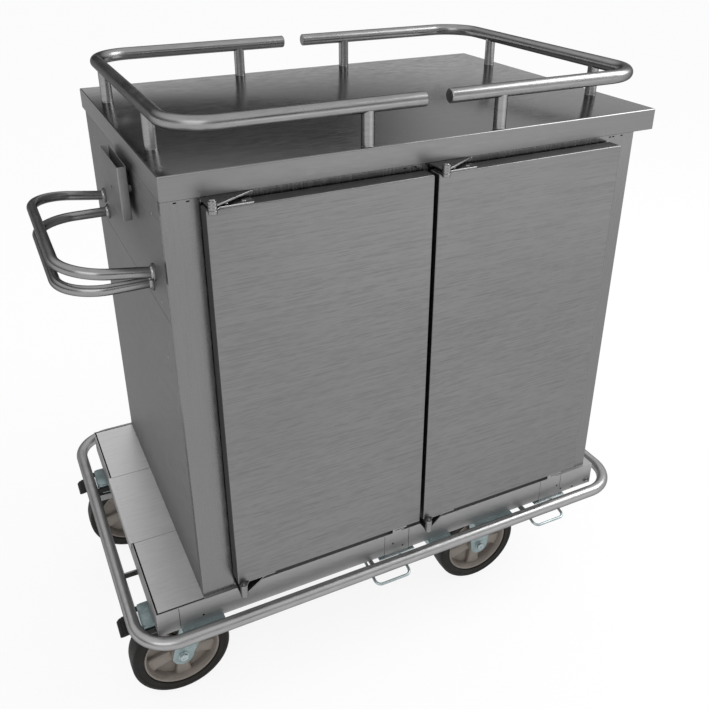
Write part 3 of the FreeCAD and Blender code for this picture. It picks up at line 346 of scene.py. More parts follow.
@dataclass(frozen=True)
class SoftBlack:
    """Rubber or moulded plastic: near black, with a pebbled skin and grey scuffs."""

    name: str
    colour: tuple[float, float, float, float] = (0.009, 0.008, 0.007, 1.0)
    scuff: tuple[float, float, float, float] = (0.024, 0.021, 0.018, 1.0)
    rough: float = 0.6
    pebble: float = 700.0

    def make(self) -> bpy.types.Material:
        """Build the material and return it."""
        nodes = Nodes(self.name)
        nodes.constants(Specular_IOR_Level=0.25)
        pebbles = nodes.noise((self.pebble, self.pebble, self.pebble), 2.0)
        scuffs = nodes.noise((30.0, 30.0, 30.0), 5.0, 0.65)
        tone = nodes.mix(
            nodes.remap(scuffs.outputs["Fac"], 0.0, 0.6, (0.5, 0.8)).outputs[0], self.colour, self.scuff
        )
        nodes.link(tone.outputs[2], nodes.shader.inputs["Base Color"])
        rough = nodes.remap(scuffs.outputs["Fac"], self.rough - 0.08, self.rough + 0.16)
        nodes.link(rough.outputs[0], nodes.shader.inputs["Roughness"])
        nodes.relief(pebbles.outputs["Fac"], 0.00015, 0.3)
        return nodes.material


@dataclass(frozen=True)
class Foam:
    """Cream insulation foam with open cells."""

    name: str

    def make(self) -> bpy.types.Material:
        """Build the material and return it."""
        nodes = Nodes(self.name)
        cells = nodes.noise((300.0, 300.0, 300.0), 4.0)
        tone = nodes.mix(
            nodes.remap(cells.outputs["Fac"], 0.0, 1.0).outputs[0], (0.55, 0.45, 0.25, 1),
            (0.8, 0.72, 0.5, 1),
        )
        nodes.link(tone.outputs[2], nodes.shader.inputs["Base Color"])
        nodes.constants(Roughness=0.9)
        nodes.relief(cells.outputs["Fac"], 0.0005, 0.5)
        return nodes.material


@dataclass
class Finishes:
    """All the finishes of the cart, each built once."""

    front: bpy.types.Material = field(init=False)
    frame: bpy.types.Material = field(init=False)
    side: bpy.types.Material = field(init=False)
    top: bpy.types.Material = field(init=False)
    lip: bpy.types.Material = field(init=False)
    bumper: bpy.types.Material = field(init=False)
    step: bpy.types.Material = field(init=False)
    skirt: bpy.types.Material = field(init=False)
    inner: bpy.types.Material = field(init=False)
    small: bpy.types.Material = field(init=False)
    tube: bpy.types.Material = field(init=False)
    zinc: bpy.types.Material = field(init=False)
    bright_zinc: bpy.types.Material = field(init=False)
    rim: bpy.types.Material = field(init=False)
    tyre: bpy.types.Material = field(init=False)
    pedal: bpy.types.Material = field(init=False)
    seal: bpy.types.Material = field(init=False)
    hole: bpy.types.Material = field(init=False)
    foam: bpy.types.Material = field(init=False)

    def __post_init__(self) -> None:
        """Build every material."""
        # Painted light and shade: the sheets and tubes below are all one stainless, but each part's grey is set to
        # the tone that part shows in its light. The step covers, the skirt and the bumper tube are painted
        # brighter, for light that the lamps don't give them, and the doors darker; grain, roughness and brush lines
        # are their own.
        self.front = BrushedSheet("front_sheet", 0.215, Axis.X, 0.36, 0.2).make()
        self.frame = BrushedSheet("frame_sheet", 0.215, Axis.Z, 0.24, 0.05).make()
        self.side = BrushedSheet("side_sheet", 0.285, Axis.Y, 0.46, 0.1, 0.36).make()
        self.top = BrushedSheet("countertop_sheet", 0.3, Axis.X, 0.17, 0.05, 0.55, 0.7).make()
        self.lip = BrushedSheet("countertop_lip", 0.25, Axis.X, 0.4, 0.06).make()
        self.step = BrushedSheet("step_sheet", 0.66, Axis.X, 0.42, 0.1, 0.8).make()
        self.skirt = BrushedSheet("base_sheet", 0.42, Axis.X, 0.5, 0.06, 0.5).make()
        self.inner = BrushedSheet("compartment_sheet", 0.4, Axis.Z, 0.3, 0.08).make()
        self.small = BrushedSheet("bracket_steel", 0.26, Axis.Z, 0.3, 0.14).make()
        self.tube = PolishedTube("bent_tube").make()
        self.bumper = PolishedTube("bumper_steel", 0.37, 0.32, 0.25).make()
        self.zinc = ZincPlate("zinc_plate").make()
        self.bright_zinc = ZincPlate("zinc_bolts", (0.4, 0.46, 0.47, 1.0), 0.22).make()
        self.rim = CastGrey("wheel_rim").make()
        self.tyre = SoftBlack("tyre_rubber").make()
        self.pedal = SoftBlack(
            "pedal_plastic", (0.005, 0.005, 0.005, 1), (0.014, 0.014, 0.013, 1), 0.45, 500.0
        ).make()
        self.seal = SoftBlack("door_seal", (0.006, 0.006, 0.006, 1), (0.015, 0.015, 0.015, 1), 0.6).make()
        # Near black painted shade: the dark inside of the holes and slots and the shadow in the step cover joints;
        # also the corner seam, a dark joint.
        self.hole = SoftBlack("painted_shade_and_seam_black", (0.003, 0.003, 0.003, 1), (0.006, 0.006, 0.006, 1), 0.9).make()
        self.foam = Foam("insulation_foam").make()


# ---------------------------------------------------------------- surfaces


@dataclass
class Surface:
    """Points in millimetres and faces, gathered before they become a mesh."""

    points: np.ndarray = field(default_factory=lambda: np.zeros((0, 3)))
    faces: list[list[int]] = field(default_factory=list)

    def join(self, points: np.ndarray, faces: list[list[int]]) -> "Surface":
        """Add points and faces to this surface.

        Args:
            points: Points to add, one row each.
            faces: Faces that count from 0 in the added points.

        Returns:
            This surface.
        """
        start = len(self.points)
        self.points = np.vstack((self.points, points))
        self.faces += [[index + start for index in face] for face in faces]
        return self

    def add(self, other: "Surface") -> "Surface":
        """Add another surface and return this one."""
        return self.join(other.points, other.faces)


def grid_faces(
    rows: int, columns: int, wrap_rows: bool = False, wrap_columns: bool = False
) -> list[list[int]]:
    """Quads of a grid of points stored row by row.

    Args:
        rows: Number of rows.
        columns: Number of columns.
        wrap_rows: Join the last row to the first.
        wrap_columns: Join the last column to the first.

    Returns:
        Faces as lists of four point numbers.
    """
    row = np.arange(rows if wrap_rows else rows - 1)[:, None]
    column = np.arange(columns if wrap_columns else columns - 1)[None, :]
    after, beside = (row + 1) % rows, (column + 1) % columns
    corners = (
        row * columns + column, row * columns + beside, after * columns + beside, after * columns + column
    )
    return np.stack(np.broadcast_arrays(*corners), axis=-1).reshape(-1, 4).tolist()


def bent_line(corners: np.ndarray, bend: float, closed: bool = False, steps: int = 14) -> np.ndarray:
    """Line through corners with each corner rounded to a bend.

    At a corner with unit directions a in and b out, the arc's centre is the corner plus the bend times
    (b - a), and the arc turns from -b to a about it: this holds for right angles.

    Args:
        corners: Corner points, one row each, meeting at right angles.
        bend: Radius of every bend.
        closed: Whether the last corner joins the first.
        steps: Number of steps along each bend.

    Returns:
        Points of the line.
    """
    before = np.roll(corners, 1, axis=0)
    after = np.roll(corners, -1, axis=0)
    way_in = (corners - before) / np.linalg.norm(corners - before, axis=1, keepdims=True)
    way_out = (after - corners) / np.linalg.norm(after - corners, axis=1, keepdims=True)
    turn = np.linspace(0, math.pi / 2, steps + 1)[None, :, None]
    centres = corners + bend * (way_out - way_in)
    arcs = centres[:, None] + bend * (-way_out[:, None] * np.cos(turn) + way_in[:, None] * np.sin(turn))
    if closed:
        return arcs.reshape(-1, 3)
    inner = arcs[1:-1].reshape(-1, 3)
    return np.vstack((corners[:1], inner, corners[-1:]))


def tube(line: np.ndarray, radius: float, up: np.ndarray, closed: bool = False, sides: int = 28) -> Surface:
    """Tube round a flat line: at each point a circle across the line, in its normal and its cross direction.

    Args:
        line: Points of the centre line, in one plane.
        radius: Radius of the tube.
        up: Unit normal of the line's plane.
        closed: Whether the line is a loop. An open tube gets slightly rounded end caps.
        sides: Number of sides of the circle.

    Returns:
        The tube's surface.
    """
    if closed:
        ahead = np.roll(line, -1, axis=0) - np.roll(line, 1, axis=0)
    else:
        ahead = np.gradient(line, axis=0)
    ahead = ahead / np.linalg.norm(ahead, axis=1, keepdims=True)
    size = np.full(len(line), radius)
    if not closed:
        edge = radius * 0.12
        line = np.vstack(
            (line[0], line[0] + ahead[0] * edge, line[1:-1], line[-1] - ahead[-1] * edge, line[-1])
        )
        ahead = np.vstack((ahead[0], ahead[0], ahead[1:-1], ahead[-1], ahead[-1]))
        size = np.concatenate(([radius - edge], np.full(len(line) - 2, radius), [radius - edge]))
    cross = np.cross(up[None, :], ahead)
    angle = np.linspace(0, 2 * math.pi, sides, endpoint=False)[None, :, None]
    ring = cross[:, None] * np.cos(angle) + up[None, None, :] * np.sin(angle)
    points = line[:, None] + size[:, None, None] * ring
    faces = grid_faces(len(line), sides, closed, True)
    if not closed:
        last = (len(line) - 1) * sides
        faces.append(list(range(sides))[::-1])
        faces.append([last + index for index in range(sides)])
    return Surface(points.reshape(-1, 3), faces)


def turned(profile: np.ndarray, centre: tuple[float, float, float], axis: Axis, sides: int = 48) -> Surface:
    """Round surface: a profile of radius and height turned about an axis.

    Args:
        profile: Rows of radius and height along the axis. A closed loop if its last row repeats the
            first; otherwise both ends are capped.
        centre: Point on the axis at height 0.
        axis: Axis of the turn.
        sides: Number of sides.

    Returns:
        The turned surface.
    """
    loop = bool(np.allclose(profile[0], profile[-1]))
    rows = profile[:-1] if loop else profile
    angle = np.linspace(0, 2 * math.pi, sides, endpoint=False)
    first, second = ((axis.value + 1) % 3, (axis.value + 2) % 3)
    points = np.zeros((len(rows), sides, 3))
    points[:, :, first] = rows[:, :1] * np.cos(angle)
    points[:, :, second] = rows[:, :1] * np.sin(angle)
    points[:, :, axis.value] = rows[:, 1:]
    faces = grid_faces(len(rows), sides, loop, True)
    if not loop:
        last = (len(rows) - 1) * sides
        faces.append(list(range(sides))[::-1])
        faces.append([last + index for index in range(sides)])
    return Surface(points.reshape(-1, 3) + np.array(centre), faces)


def rounded_frame(
    low: tuple[float, float], high: tuple[float, float], corner: float, inset: np.ndarray, steps: int
) -> np.ndarray:
    """Rounded rectangles, each set in from the outer one by an inset.

    A corner's arc keeps its centre until the inset passes the corner radius, and then its centre moves in.

    Args:
        low: Lower corner of the outer rectangle.
        high: Upper corner of the outer rectangle.
        corner: Corner radius of the outer rectangle.
        inset: Insets, one for each rectangle.
        steps: Steps round each corner.

    Returns:
        Array of rectangles, points and two coordinates, anticlockwise.
    """
    quadrant = np.repeat(np.arange(4), steps + 1)
    turn = (quadrant + np.tile(np.linspace(0, 1, steps + 1), 4)) * math.pi / 2
    sign = np.stack(
        (np.where((quadrant == 0) | (quadrant == 3), 1, -1), np.where(quadrant < 2, 1, -1)), axis=1
    )
    middle = (np.array(low) + np.array(high)) / 2
    half = (np.array(high) - np.array(low)) / 2
    radius = np.maximum(corner - inset, 0)[:, None, None]
    reach = half[None, None, :] - np.maximum(corner, inset)[:, None, None]
    way = np.stack((np.cos(turn), np.sin(turn)), axis=1)[None]
    return middle + sign[None] * reach + radius * way


def pressed(
    low: tuple[float, float], high: tuple[float, float], corner: float, section: np.ndarray, axis: Axis,
    loop: bool = False, steps: int = 5,
) -> Surface:
    """Surface made by carrying a section of inset and height round a rounded rectangle.

    Args:
        low: Lower corner of the rectangle, in the two axes that follow the height axis in X, Y, Z order.
        high: Upper corner of the rectangle.
        corner: Corner radius.
        section: Rows of inset and height, from the lower cap to the upper cap, or a loop.
        axis: Axis of the height.
        loop: Whether the section closes on itself, as for a seal, or ends in a flat cap at both ends.
        steps: Steps round each corner.

    Returns:
        The pressed surface.
    """
    flat = rounded_frame(low, high, corner, section[:, 0], steps)
    rows, columns = flat.shape[:2]
    first, second = ((axis.value + 1) % 3, (axis.value + 2) % 3)
    points = np.zeros((rows, columns, 3))
    points[:, :, first] = flat[:, :, 0]
    points[:, :, second] = flat[:, :, 1]
    points[:, :, axis.value] = section[:, 1:]
    faces = grid_faces(rows, columns, loop, True)
    if not loop:
        last = (rows - 1) * columns
        faces.append(list(range(columns))[::-1])
        faces.append([last + index for index in range(columns)])
    return Surface(points.reshape(-1, 3), faces)


def soft_edge(bottom: float, top: float, radius: float, steps: int = 4) -> np.ndarray:
    """Section of a slab with its upper and lower edge rounded: inset r(1 - sin a), height r(1 - cos a) in.

    Args:
        bottom: Height of the lower face.
        top: Height of the upper face.
        radius: Radius of both edges.
        steps: Steps along each edge.

    Returns:
        Rows of inset and height.
    """
    turn = np.linspace(0, math.pi / 2, steps + 1)
    inset = radius * (1 - np.sin(turn))
    rise = radius * (1 - np.cos(turn))
    lower = np.stack((inset, bottom + rise), axis=1)
    upper = np.stack((inset, top - rise), axis=1)[::-1]
    return np.vstack((lower, upper))


def slab(
    x: tuple[float, float], y: tuple[float, float], z: tuple[float, float], radius: float = 0.6
) -> Surface:
    """Block between two values along each axis, with its edges rounded."""
    return pressed((x[0], y[0]), (x[1], y[1]), radius, soft_edge(z[0], z[1], radius, 3), Axis.Z, steps=3)


def cut_plate(outline: np.ndarray, start: float, end: float, axis: Axis, edge: float = 0.5) -> Surface:
    """Flat plate: an outline drawn in towards its middle at both faces, which breaks its edges.

    Args:
        outline: Anticlockwise outline in the two axes that follow the plate's axis in X, Y, Z order.
        start: Where the plate starts along its axis.
        end: Where the plate ends along its axis.
        axis: Axis of the plate's thickness.
        edge: Width of the broken edge.

    Returns:
        The plate's surface.
    """
    before = np.roll(outline, 1, axis=0) - outline
    after = np.roll(outline, -1, axis=0) - outline
    inward = before / np.linalg.norm(
        before, axis=1, keepdims=True
    ) + after / np.linalg.norm(after, axis=1, keepdims=True)
    side = np.stack((-after[:, 1], after[:, 0]), axis=1)
    side /= np.linalg.norm(side, axis=1, keepdims=True)
    length = np.maximum(np.linalg.norm(inward, axis=1, keepdims=True), 1e-6)
    turn = np.where(np.sum(inward * side, axis=1, keepdims=True) < 0, -1.0, 1.0)
    way = np.where(length > 0.02, inward / length * turn, side)
    drawn = outline + way * edge
    rows = np.stack((drawn, outline, outline, drawn))
    first, second = ((axis.value + 1) % 3, (axis.value + 2) % 3)
    points = np.zeros((4, len(outline), 3))
    points[:, :, first] = rows[:, :, 0]
    points[:, :, second] = rows[:, :, 1]
    points[:, :, axis.value] = np.array([start, start + edge, end - edge, end])[:, None]
    count = len(outline)
    faces = grid_faces(4, count, False, True)
    faces.append(list(range(count))[::-1])
    faces.append([3 * count + index for index in range(count)])
    return Surface(points.reshape(-1, 3), faces)


def arc(centre: tuple[float, float], radius: float, start: float, end: float, steps: int = 12) -> np.ndarray:
    """Points of an arc from one angle to another, in degrees."""
    angle = np.radians(np.linspace(start, end, steps + 1))
    return np.stack((centre[0] + radius * np.cos(angle), centre[1] + radius * np.sin(angle)), axis=1)


# ---------------------------------------------------------------- placing


@dataclass
class Workshop:
    """Turns surfaces into pieces of the cart: places them, dresses them and joins them to a body."""

    finishes: Finishes
    origin: np.ndarray
    made: int = 0

    def piece(
        self, name: str, surface: Surface, finish: bpy.types.Material, body: str,
        replaces: tuple[str, ...] = (), crease: float = 40.0,
    ) -> bpy.types.Object:
        """Make one piece.

        Args:
            name: Name of the piece.
            surface: Its surface, in millimetres from the countertop's corner.
            finish: Its material.
            body: Body that it rides on.
            replaces: CAD nodes that it stands for.
            crease: Angle in degrees above which an edge stays sharp.

        Returns:
            The piece.
        """
        mesh = bpy.data.meshes.new(name)
        mesh.from_pydata((surface.points + self.origin) * MM, [], surface.faces)
        shape = bmesh.new()
        shape.from_mesh(mesh)
        bmesh.ops.recalc_face_normals(shape, faces=shape.faces)
        shape.to_mesh(mesh)
        shape.free()
        mesh.polygons.foreach_set("use_smooth", np.ones(len(mesh.polygons), dtype=bool))
        mesh.set_sharp_from_angle(angle=math.radians(crease))
        mesh.materials.append(finish)
        mesh.validate()
        thing = bpy.data.objects.new(name, mesh)
        bpy.context.scene.collection.objects.link(thing)
        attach(thing, body)
        if replaces:
            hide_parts(*replaces)
        self.made += 1
        log.info("%s: %d faces on %s", name, len(mesh.polygons), body)
        return thing

    def dress_walls(self, thing: bpy.types.Object, finish: bpy.types.Material) -> None:
        """Give the upright faces of a piece, whose normal rises by less than 0.6, a finish of their own.

        Args:
            thing: The piece.
            finish: Finish of its upright faces.
        """
        mesh = thing.data
        mesh.materials.append(finish)
        normals = np.zeros(len(mesh.polygons) * 3)
        mesh.polygons.foreach_get("normal", normals)
        upright = (np.abs(normals.reshape(-1, 3)[:, 2]) < 0.6).astype(np.int32)
        mesh.polygons.foreach_set("material_index", upright)


# ---------------------------------------------------------------- the cart


@dataclass
class BentTubes:
    """Bumper rail, gallery rail with its posts, and the two bows of the push handle."""

    rail: float = 12.5
    bend: float = 76.0
    bumper: tuple[float, float, float, float] = (-129.0, 981.0, -33.0, 684.0)
    bumper_level: float = 234.0
    gallery: tuple[float, float, float, float] = (29.0, 921.0, 15.5, 649.5)
    gallery_level: float = 1172.0
    gallery_ends: tuple[float, float] = (452.0, 498.0)
    counter: float = 1107.0
    post: float = 11.0
    side_posts: tuple[float, float] = (347.0, 603.0)
    end_posts: tuple[float, float] = (152.5, 512.5)
    bar: float = 9.5
    bow_bend: float = 80.0
    reach: float = 147.0
    middle: float = 311.5

    def build(self, shop: Workshop) -> None:
        """Make every tube.

        Args:
            shop: Workshop that makes the pieces.
        """
        self.bumper_rail(shop)
        for side in ("left", "right"):
            self.gallery_half(shop, side)
        self.handle_bow(shop, "upper", 421.0, 917.0, 8.0)
        self.handle_bow(shop, "lower", 375.0, 890.0, 0.0)

    def bumper_rail(self, shop: Workshop) -> None:
        """Closed rail round the base: a circle carried round a rounded rectangle, a hair thinner than the solid."""
        left, right, front, rear = self.bumper
        level = self.bumper_level
        corners = np.array(
            [(left, front, level), (right, front, level), (right, rear, level), (left, rear, level)]
        )
        surface = tube(
            bent_line(corners, self.bend, True, 24), self.rail - 0.02, np.array([0.0, 0.0, 1.0]), True, 32
        )
        shop.piece("bumper_tube", surface, shop.finishes.bumper, "cabinet", ("bumper_rail",))

    def post_surface(self, x: float, y: float) -> Surface:
        """Round post from the countertop into the rail, with a small fillet at its foot.

        Args:
            x: Place along the cart.
            y: Place across the cart.

        Returns:
            The post's surface.
        """
        foot, head = self.counter, self.gallery_level - 6.5
        turn = np.linspace(0, math.pi / 2, 6)
        weld = np.stack((self.post + 0.5 * (1 - np.sin(turn)), foot + 0.5 * (1 - np.cos(turn))), axis=1)
        top = np.array([(self.post, head - 6.0), (self.post, head)])
        return turned(np.vstack((weld, top)), (x, y, 0.0), Axis.Z, 32)

    def gallery_half(self, shop: Workshop, side: str) -> None:
        """One C of the gallery rail, with its four posts.

        Args:
            shop: Workshop that makes the pieces.
            side: left or right.
        """
        left, right, front, rear = self.gallery
        level = self.gallery_level
        end, start = (left, self.gallery_ends[0]) if side == "left" else (right, self.gallery_ends[1])
        corners = np.array(
            [(start, front, level), (end, front, level), (end, rear, level), (start, rear, level)]
        )
        surface = tube(
            bent_line(corners, self.bend, False, 22), self.rail, np.array([0.0, 0.0, 1.0]), False, 32
        )
        x = self.side_posts[0 if side == "left" else 1]
        for place in ((x, front), (x, rear), (end, self.end_posts[0]), (end, self.end_posts[1])):
            surface.add(self.post_surface(*place))
        name = f"{side}_gallery_tube"
        shop.piece(name, surface, shop.finishes.tube, "cabinet", (f"{side}_gallery_rail",))

    def handle_bow(self, shop: Workshop, name: str, span: float, level: float, tilt: float) -> None:
        """One bow of the push handle, with a turned flange where each leg meets the side panel.

        Args:
            shop: Workshop that makes the pieces.
            name: upper or lower.
            span: Distance between the two legs.
            level: Height of the flanges.
            tilt: Rise of the bow away from the panel, in degrees.
        """
        slope = math.radians(tilt)
        out = np.array([-math.cos(slope), 0.0, math.sin(slope)])
        across = np.array([0.0, 1.0, 0.0])
        near, far = self.middle - span / 2, self.middle + span / 2
        root = np.array([-1.8, 0.0, level])
        length = (self.reach - 1.8) / math.cos(slope)
        corners = np.stack((
            root + across * near, root + across * near + out * length,
            root + across * far + out * length, root + across * far,
        ))
        normal = np.cross(across, out)
        surface = tube(
            bent_line(corners, self.bow_bend, False, 22), self.bar, normal / np.linalg.norm(normal), False,
            28,
        )
        for y in (near, far):
            rounded = [(9.0, -3.3), (14.2, -3.3), (15.0, -2.6), (15.0, -0.3), (9.0, -0.3)]
            collar = [(11.2, -5.2), (10.0, -6.6), (9.0, -6.6), (9.0, -3.3), (11.6, -3.3), (11.2, -5.2)]
            for profile in (rounded, collar):
                surface.add(turned(np.array(profile), (0.0, y, level), Axis.X, 36))
        shop.piece(
            f"{name}_handle_bow", surface, shop.finishes.tube, "cabinet", (
                f"{name}_push_handle",
            )
        )


@dataclass
class SheetBody:
    """Countertop, doors, seals, document holder and rivets of the cabinet."""

    counter: tuple[float, float] = (950.0, 665.0)
    counter_levels: tuple[float, float] = (1068.0, 1107.0)
    sheet: float = 1.5
    door_places: tuple[tuple[str, float], ...] = (("left", 59.0), ("right", 455.0))
    door_width: float = 388.0
    door_levels: tuple[float, float] = (323.0, 1057.5)
    door_depth: tuple[float, float] = (-34.0, -5.0)
    seal_inset: float = 9.0
    seal_width: float = 10.0
    holder: tuple[float, float, float, float] = (187.0, 332.0, 979.0, 1072.0)
    rivets: tuple[tuple[float, float], ...] = ((66.0, 1031.0), (66.0, 879.0), (66.0, 775.0), (557.0, 1031.0))

    def build(self, shop: Workshop) -> None:
        """Make the folded and pressed sheet pieces.

        Args:
            shop: Workshop that makes the pieces.
        """
        self.countertop(shop)
        for side, start in self.door_places:
            self.door_panel(shop, side, start)
            self.door_seal(shop, side, start)
        self.document_holder(shop)
        self.rivet_heads(shop)

    def countertop(self, shop: Workshop) -> None:
        """Sheet folded down all round: from inside the lip round its edge, up and over a rounded bend."""
        low, high = self.counter_levels
        bend = soft_edge(low, high, 2.6, 6)[-7:]
        fold = np.array([
            (self.sheet, high - self.sheet), (self.sheet, low + 0.3), (self.sheet - 0.4, low),
            (0.4, low), (0.0, low + 0.4),
        ])
        surface = pressed((0.0, 0.0), self.counter, 3.0, np.vstack((fold, bend)), Axis.Z)
        sheet = shop.piece(
            "countertop_sheet", surface, shop.finishes.top, "cabinet", ("countertop",)
        )
        shop.dress_walls(sheet, shop.finishes.lip)

    def door_panel(self, shop: Workshop, side: str, start: float) -> None:
        """Outer door sheet: a flat face with its edges bent back round the foam.

        Args:
            shop: Workshop that makes the pieces.
            side: left or right.
            start: Left edge of the door.
        """
        front, back = self.door_depth
        low, high = self.door_levels
        bend = soft_edge(-back, -front, 2.2, 6)[-7:]
        wall = np.array(
            [(1.2, -front - 1.2), (1.2, -back + 0.2), (0.9, -back), (0.3, -back), (0.0, -back + 0.3)]
        )
        section = np.vstack((wall, bend))
        section[:, 1] *= -1
        surface = pressed((low, start), (high, start + self.door_width), 2.4, section[::-1], Axis.Y)
        shop.piece(
            f"{side}_door_sheet", surface, shop.finishes.front, f"{side}_door", (
                f"{side}_door_panel",
            )
        )

    def door_seal(self, shop: Workshop, side: str, start: float) -> None:
        """Soft seal behind a door: a lobed section carried round a rounded rectangle.

        Args:
            shop: Workshop that makes the pieces.
            side: left or right.
            start: Left edge of the door.
        """
        back = self.door_depth[1]
        turn = np.linspace(0, math.pi, 9)
        width, height = self.seal_width / 2, 4.6
        lobe = np.stack((width - width * np.cos(turn), back + height * (0.35 + 0.65 * np.sin(turn))), axis=1)
        section = np.vstack(([(0.0, back)], lobe, [(self.seal_width, back)]))
        low, high = self.door_levels
        surface = pressed(
            (low + self.seal_inset, start + self.seal_inset),
            (high - self.seal_inset, start + self.door_width - self.seal_inset),
            12.0, section, Axis.Y, True,
        )
        shop.piece(
            f"{side}_door_seal", surface, shop.finishes.seal, f"{side}_door",
            (f"{side}_door_gasket",),
        )

    def document_holder(self, shop: Workshop) -> None:
        """Card pocket: up its outside, over the rim and down to the bottom of the pocket, on two spacers."""
        front, rear, low, high = self.holder
        section = np.array([
            (0.8, low), (0.2, low + 0.4), (0.0, low + 1.0), (0.0, high - 0.5), (0.3, high), (1.2, high),
            (1.5, high - 0.4), (1.5, low + 1.5),
        ])
        surface = pressed((-24.0, front), (-8.0, rear), 2.0, section, Axis.Z)
        for y in (front + 29.0, rear - 29.0):
            surface.add(turned(np.array([(6.0, -8.0), (6.0, 0.0)]), (0.0, y, (low + high) / 2), Axis.X, 24))
        shop.piece(
            "card_pocket", surface, shop.finishes.side, "cabinet", ("document_holder",)
        )

    def rivet_heads(self, shop: Workshop) -> None:
        """Domed rivet heads: height falls off with the square of the distance from the middle."""
        radius = np.linspace(3.5, 0.2, 7)
        dome = np.stack((radius, -1.2 * (1 - (radius / 3.5) ** 2) - 0.02), axis=1)
        profile = np.vstack(([(3.5, 0.0)], dome))
        surface = Surface()
        for y, z in self.rivets:
            surface.add(turned(profile, (0.0, y, z), Axis.X, 20))
        shop.piece("rivet_domes", surface, shop.finishes.small, "cabinet", ("panel_rivets",))


@dataclass
class Wheel:
    """Wheel with a rounded tyre on a five-spoke rim, centred on its hub."""

    label: str
    place: tuple[float, float]
    radius: float = 100.0
    width: float = 50.0
    rim: float = 77.0
    spokes: int = 5

    def tyre_section(self) -> np.ndarray:
        """Section of the tyre: slightly crowned tread, rounded shoulders, a step in each side wall."""
        half = self.width / 2
        tread = np.linspace(-17.0, 17.0, 9)
        crown = np.stack((self.radius - 0.7 * (tread / 17.0) ** 2, tread), axis=1)
        turn = np.radians(np.linspace(82, 8, 6))
        shoulder = np.stack((self.radius - 8.7 + 8.0 * np.sin(turn), 17.0 + 8.0 * np.cos(turn)), axis=1)
        wall = np.array(
            [(89.5, half), (88.8, half - 0.8), (80.2, half - 0.8), (79.4, half), (self.rim + 0.6, half - 0.4)]
        )
        side = np.vstack((shoulder, wall))
        inner = np.array([(self.rim, half - 1.4)])
        right = np.vstack((side, inner))
        left = right[::-1] * np.array([1.0, -1.0])
        loop = np.vstack((crown, right, left))
        return np.vstack((loop, loop[:1]))

    def rim_section(self) -> np.ndarray:
        """Section of the rim ring, with a rolled edge on both sides."""
        side = np.array([
            (76.9, 21.0), (76.0, 22.0), (73.6, 22.0), (72.6, 21.2), (71.8, 18.5), (
                69.2, 15.0
            ), (68.2, 9.0), (68.0, 0.0),
        ])
        other = side[-2::-1] * np.array([1.0, -1.0])
        loop = np.vstack((side, other))
        return np.vstack((loop, loop[:1]))

    def spoke(self, index: int) -> Surface:
        """One spoke: a rounded section lofted from the hub to the ring, wider and thinner towards the ring.

        Args:
            index: Which spoke, counted round the wheel.

        Returns:
            The spoke's surface, about the hub.
        """
        share = np.linspace(0, 1, 7)
        out = 19.0 + share * 51.0
        wide = 13.5 + 1.2 * share + 4.5 * share ** 4
        deep = 16.5 - 4.5 * share
        turn = np.linspace(0, 2 * math.pi, 24, endpoint=False)
        power = 0.42
        round_x = np.sign(np.cos(turn)) * np.abs(np.cos(turn)) ** power
        round_y = np.sign(np.sin(turn)) * np.abs(np.sin(turn)) ** power
        side = wide[:, None] * round_x[None, :]
        depth = deep[:, None] * round_y[None, :]
        angle = math.radians(90.0 + 36.0 + index * 360.0 / self.spokes)
        x = out[:, None] * math.cos(angle) - side * math.sin(angle)
        z = out[:, None] * math.sin(angle) + side * math.cos(angle)
        points = np.stack((x, depth, z), axis=-1)
        faces = grid_faces(7, 24, False, True)
        faces.append(list(range(24))[::-1])
        faces.append([6 * 24 + number for number in range(24)])
        return Surface(points.reshape(-1, 3), faces)

    def build(self, shop: Workshop) -> None:
        """Make the tyre and the rim.

        Args:
            shop: Workshop that makes the pieces.
        """
        x, y = self.place
        centre = (x, y, self.radius)
        body = f"{self.label}_wheel"
        tyre = turned(self.tyre_section(), centre, Axis.Y, 96)
        shop.piece(
            f"{self.label}_rubber", tyre, shop.finishes.tyre, body, (f"{self.label}_tyre",)
        )
        rim = turned(self.rim_section(), centre, Axis.Y, 96)
        hub = np.array(
            [(6.1, 26.0), (20.0, 26.0), (22.0, 24.6), (23.0, 22.0), (23.0, 17.0), (25.5, 13.0), (25.5, 0.0)]
        )
        other = hub[-2::-1] * np.array([1.0, -1.0])
        rim.add(turned(np.vstack((hub, other, hub[:1])), centre, Axis.Y, 48))
        web = np.array([(24.0, 2.0), (69.0, 2.0), (69.0, -2.0), (24.0, -2.0), (24.0, 2.0)])
        rim.add(turned(web, centre, Axis.Y, 64))
        for index in range(self.spokes):
            spoke = self.spoke(index)
            rim.join(spoke.points + np.array(centre), spoke.faces)
        shop.piece(f"{self.label}_spokes", rim, shop.finishes.rim, body, (f"{self.label}_rim",))


@dataclass
class Bolt:
    """Hexagon head or nut on a washer, with a chamfered crown."""

    radius: float
    height: float

    def surface(self, centre: tuple[float, float, float], axis: Axis, sign: float) -> Surface:
        """Head that stands on a face.

        Args:
            centre: Middle of the face.
            axis: Axis of the bolt.
            sign: 1 or -1, the way the head points along the axis.

        Returns:
            The head and its washer.
        """
        washer = np.array(
            [(self.radius, 0.0), (self.radius, 1.2), (self.radius - 0.6, 1.6), (self.radius * 0.5, 1.6)]
        )
        flats = self.radius * 0.86
        head = np.array([
            (flats, 1.6), (flats, self.height - 1.0), (flats * 0.86, self.height), (
                flats * 0.45, self.height
            ),
            (flats * 0.4, self.height - 0.8),
        ])
        both = Surface()
        for profile, sides in ((washer, 32), (head, 6)):
            rows = profile * np.array([1.0, sign])
            both.add(turned(rows if sign > 0 else rows[::-1], centre, axis, sides))
        return both


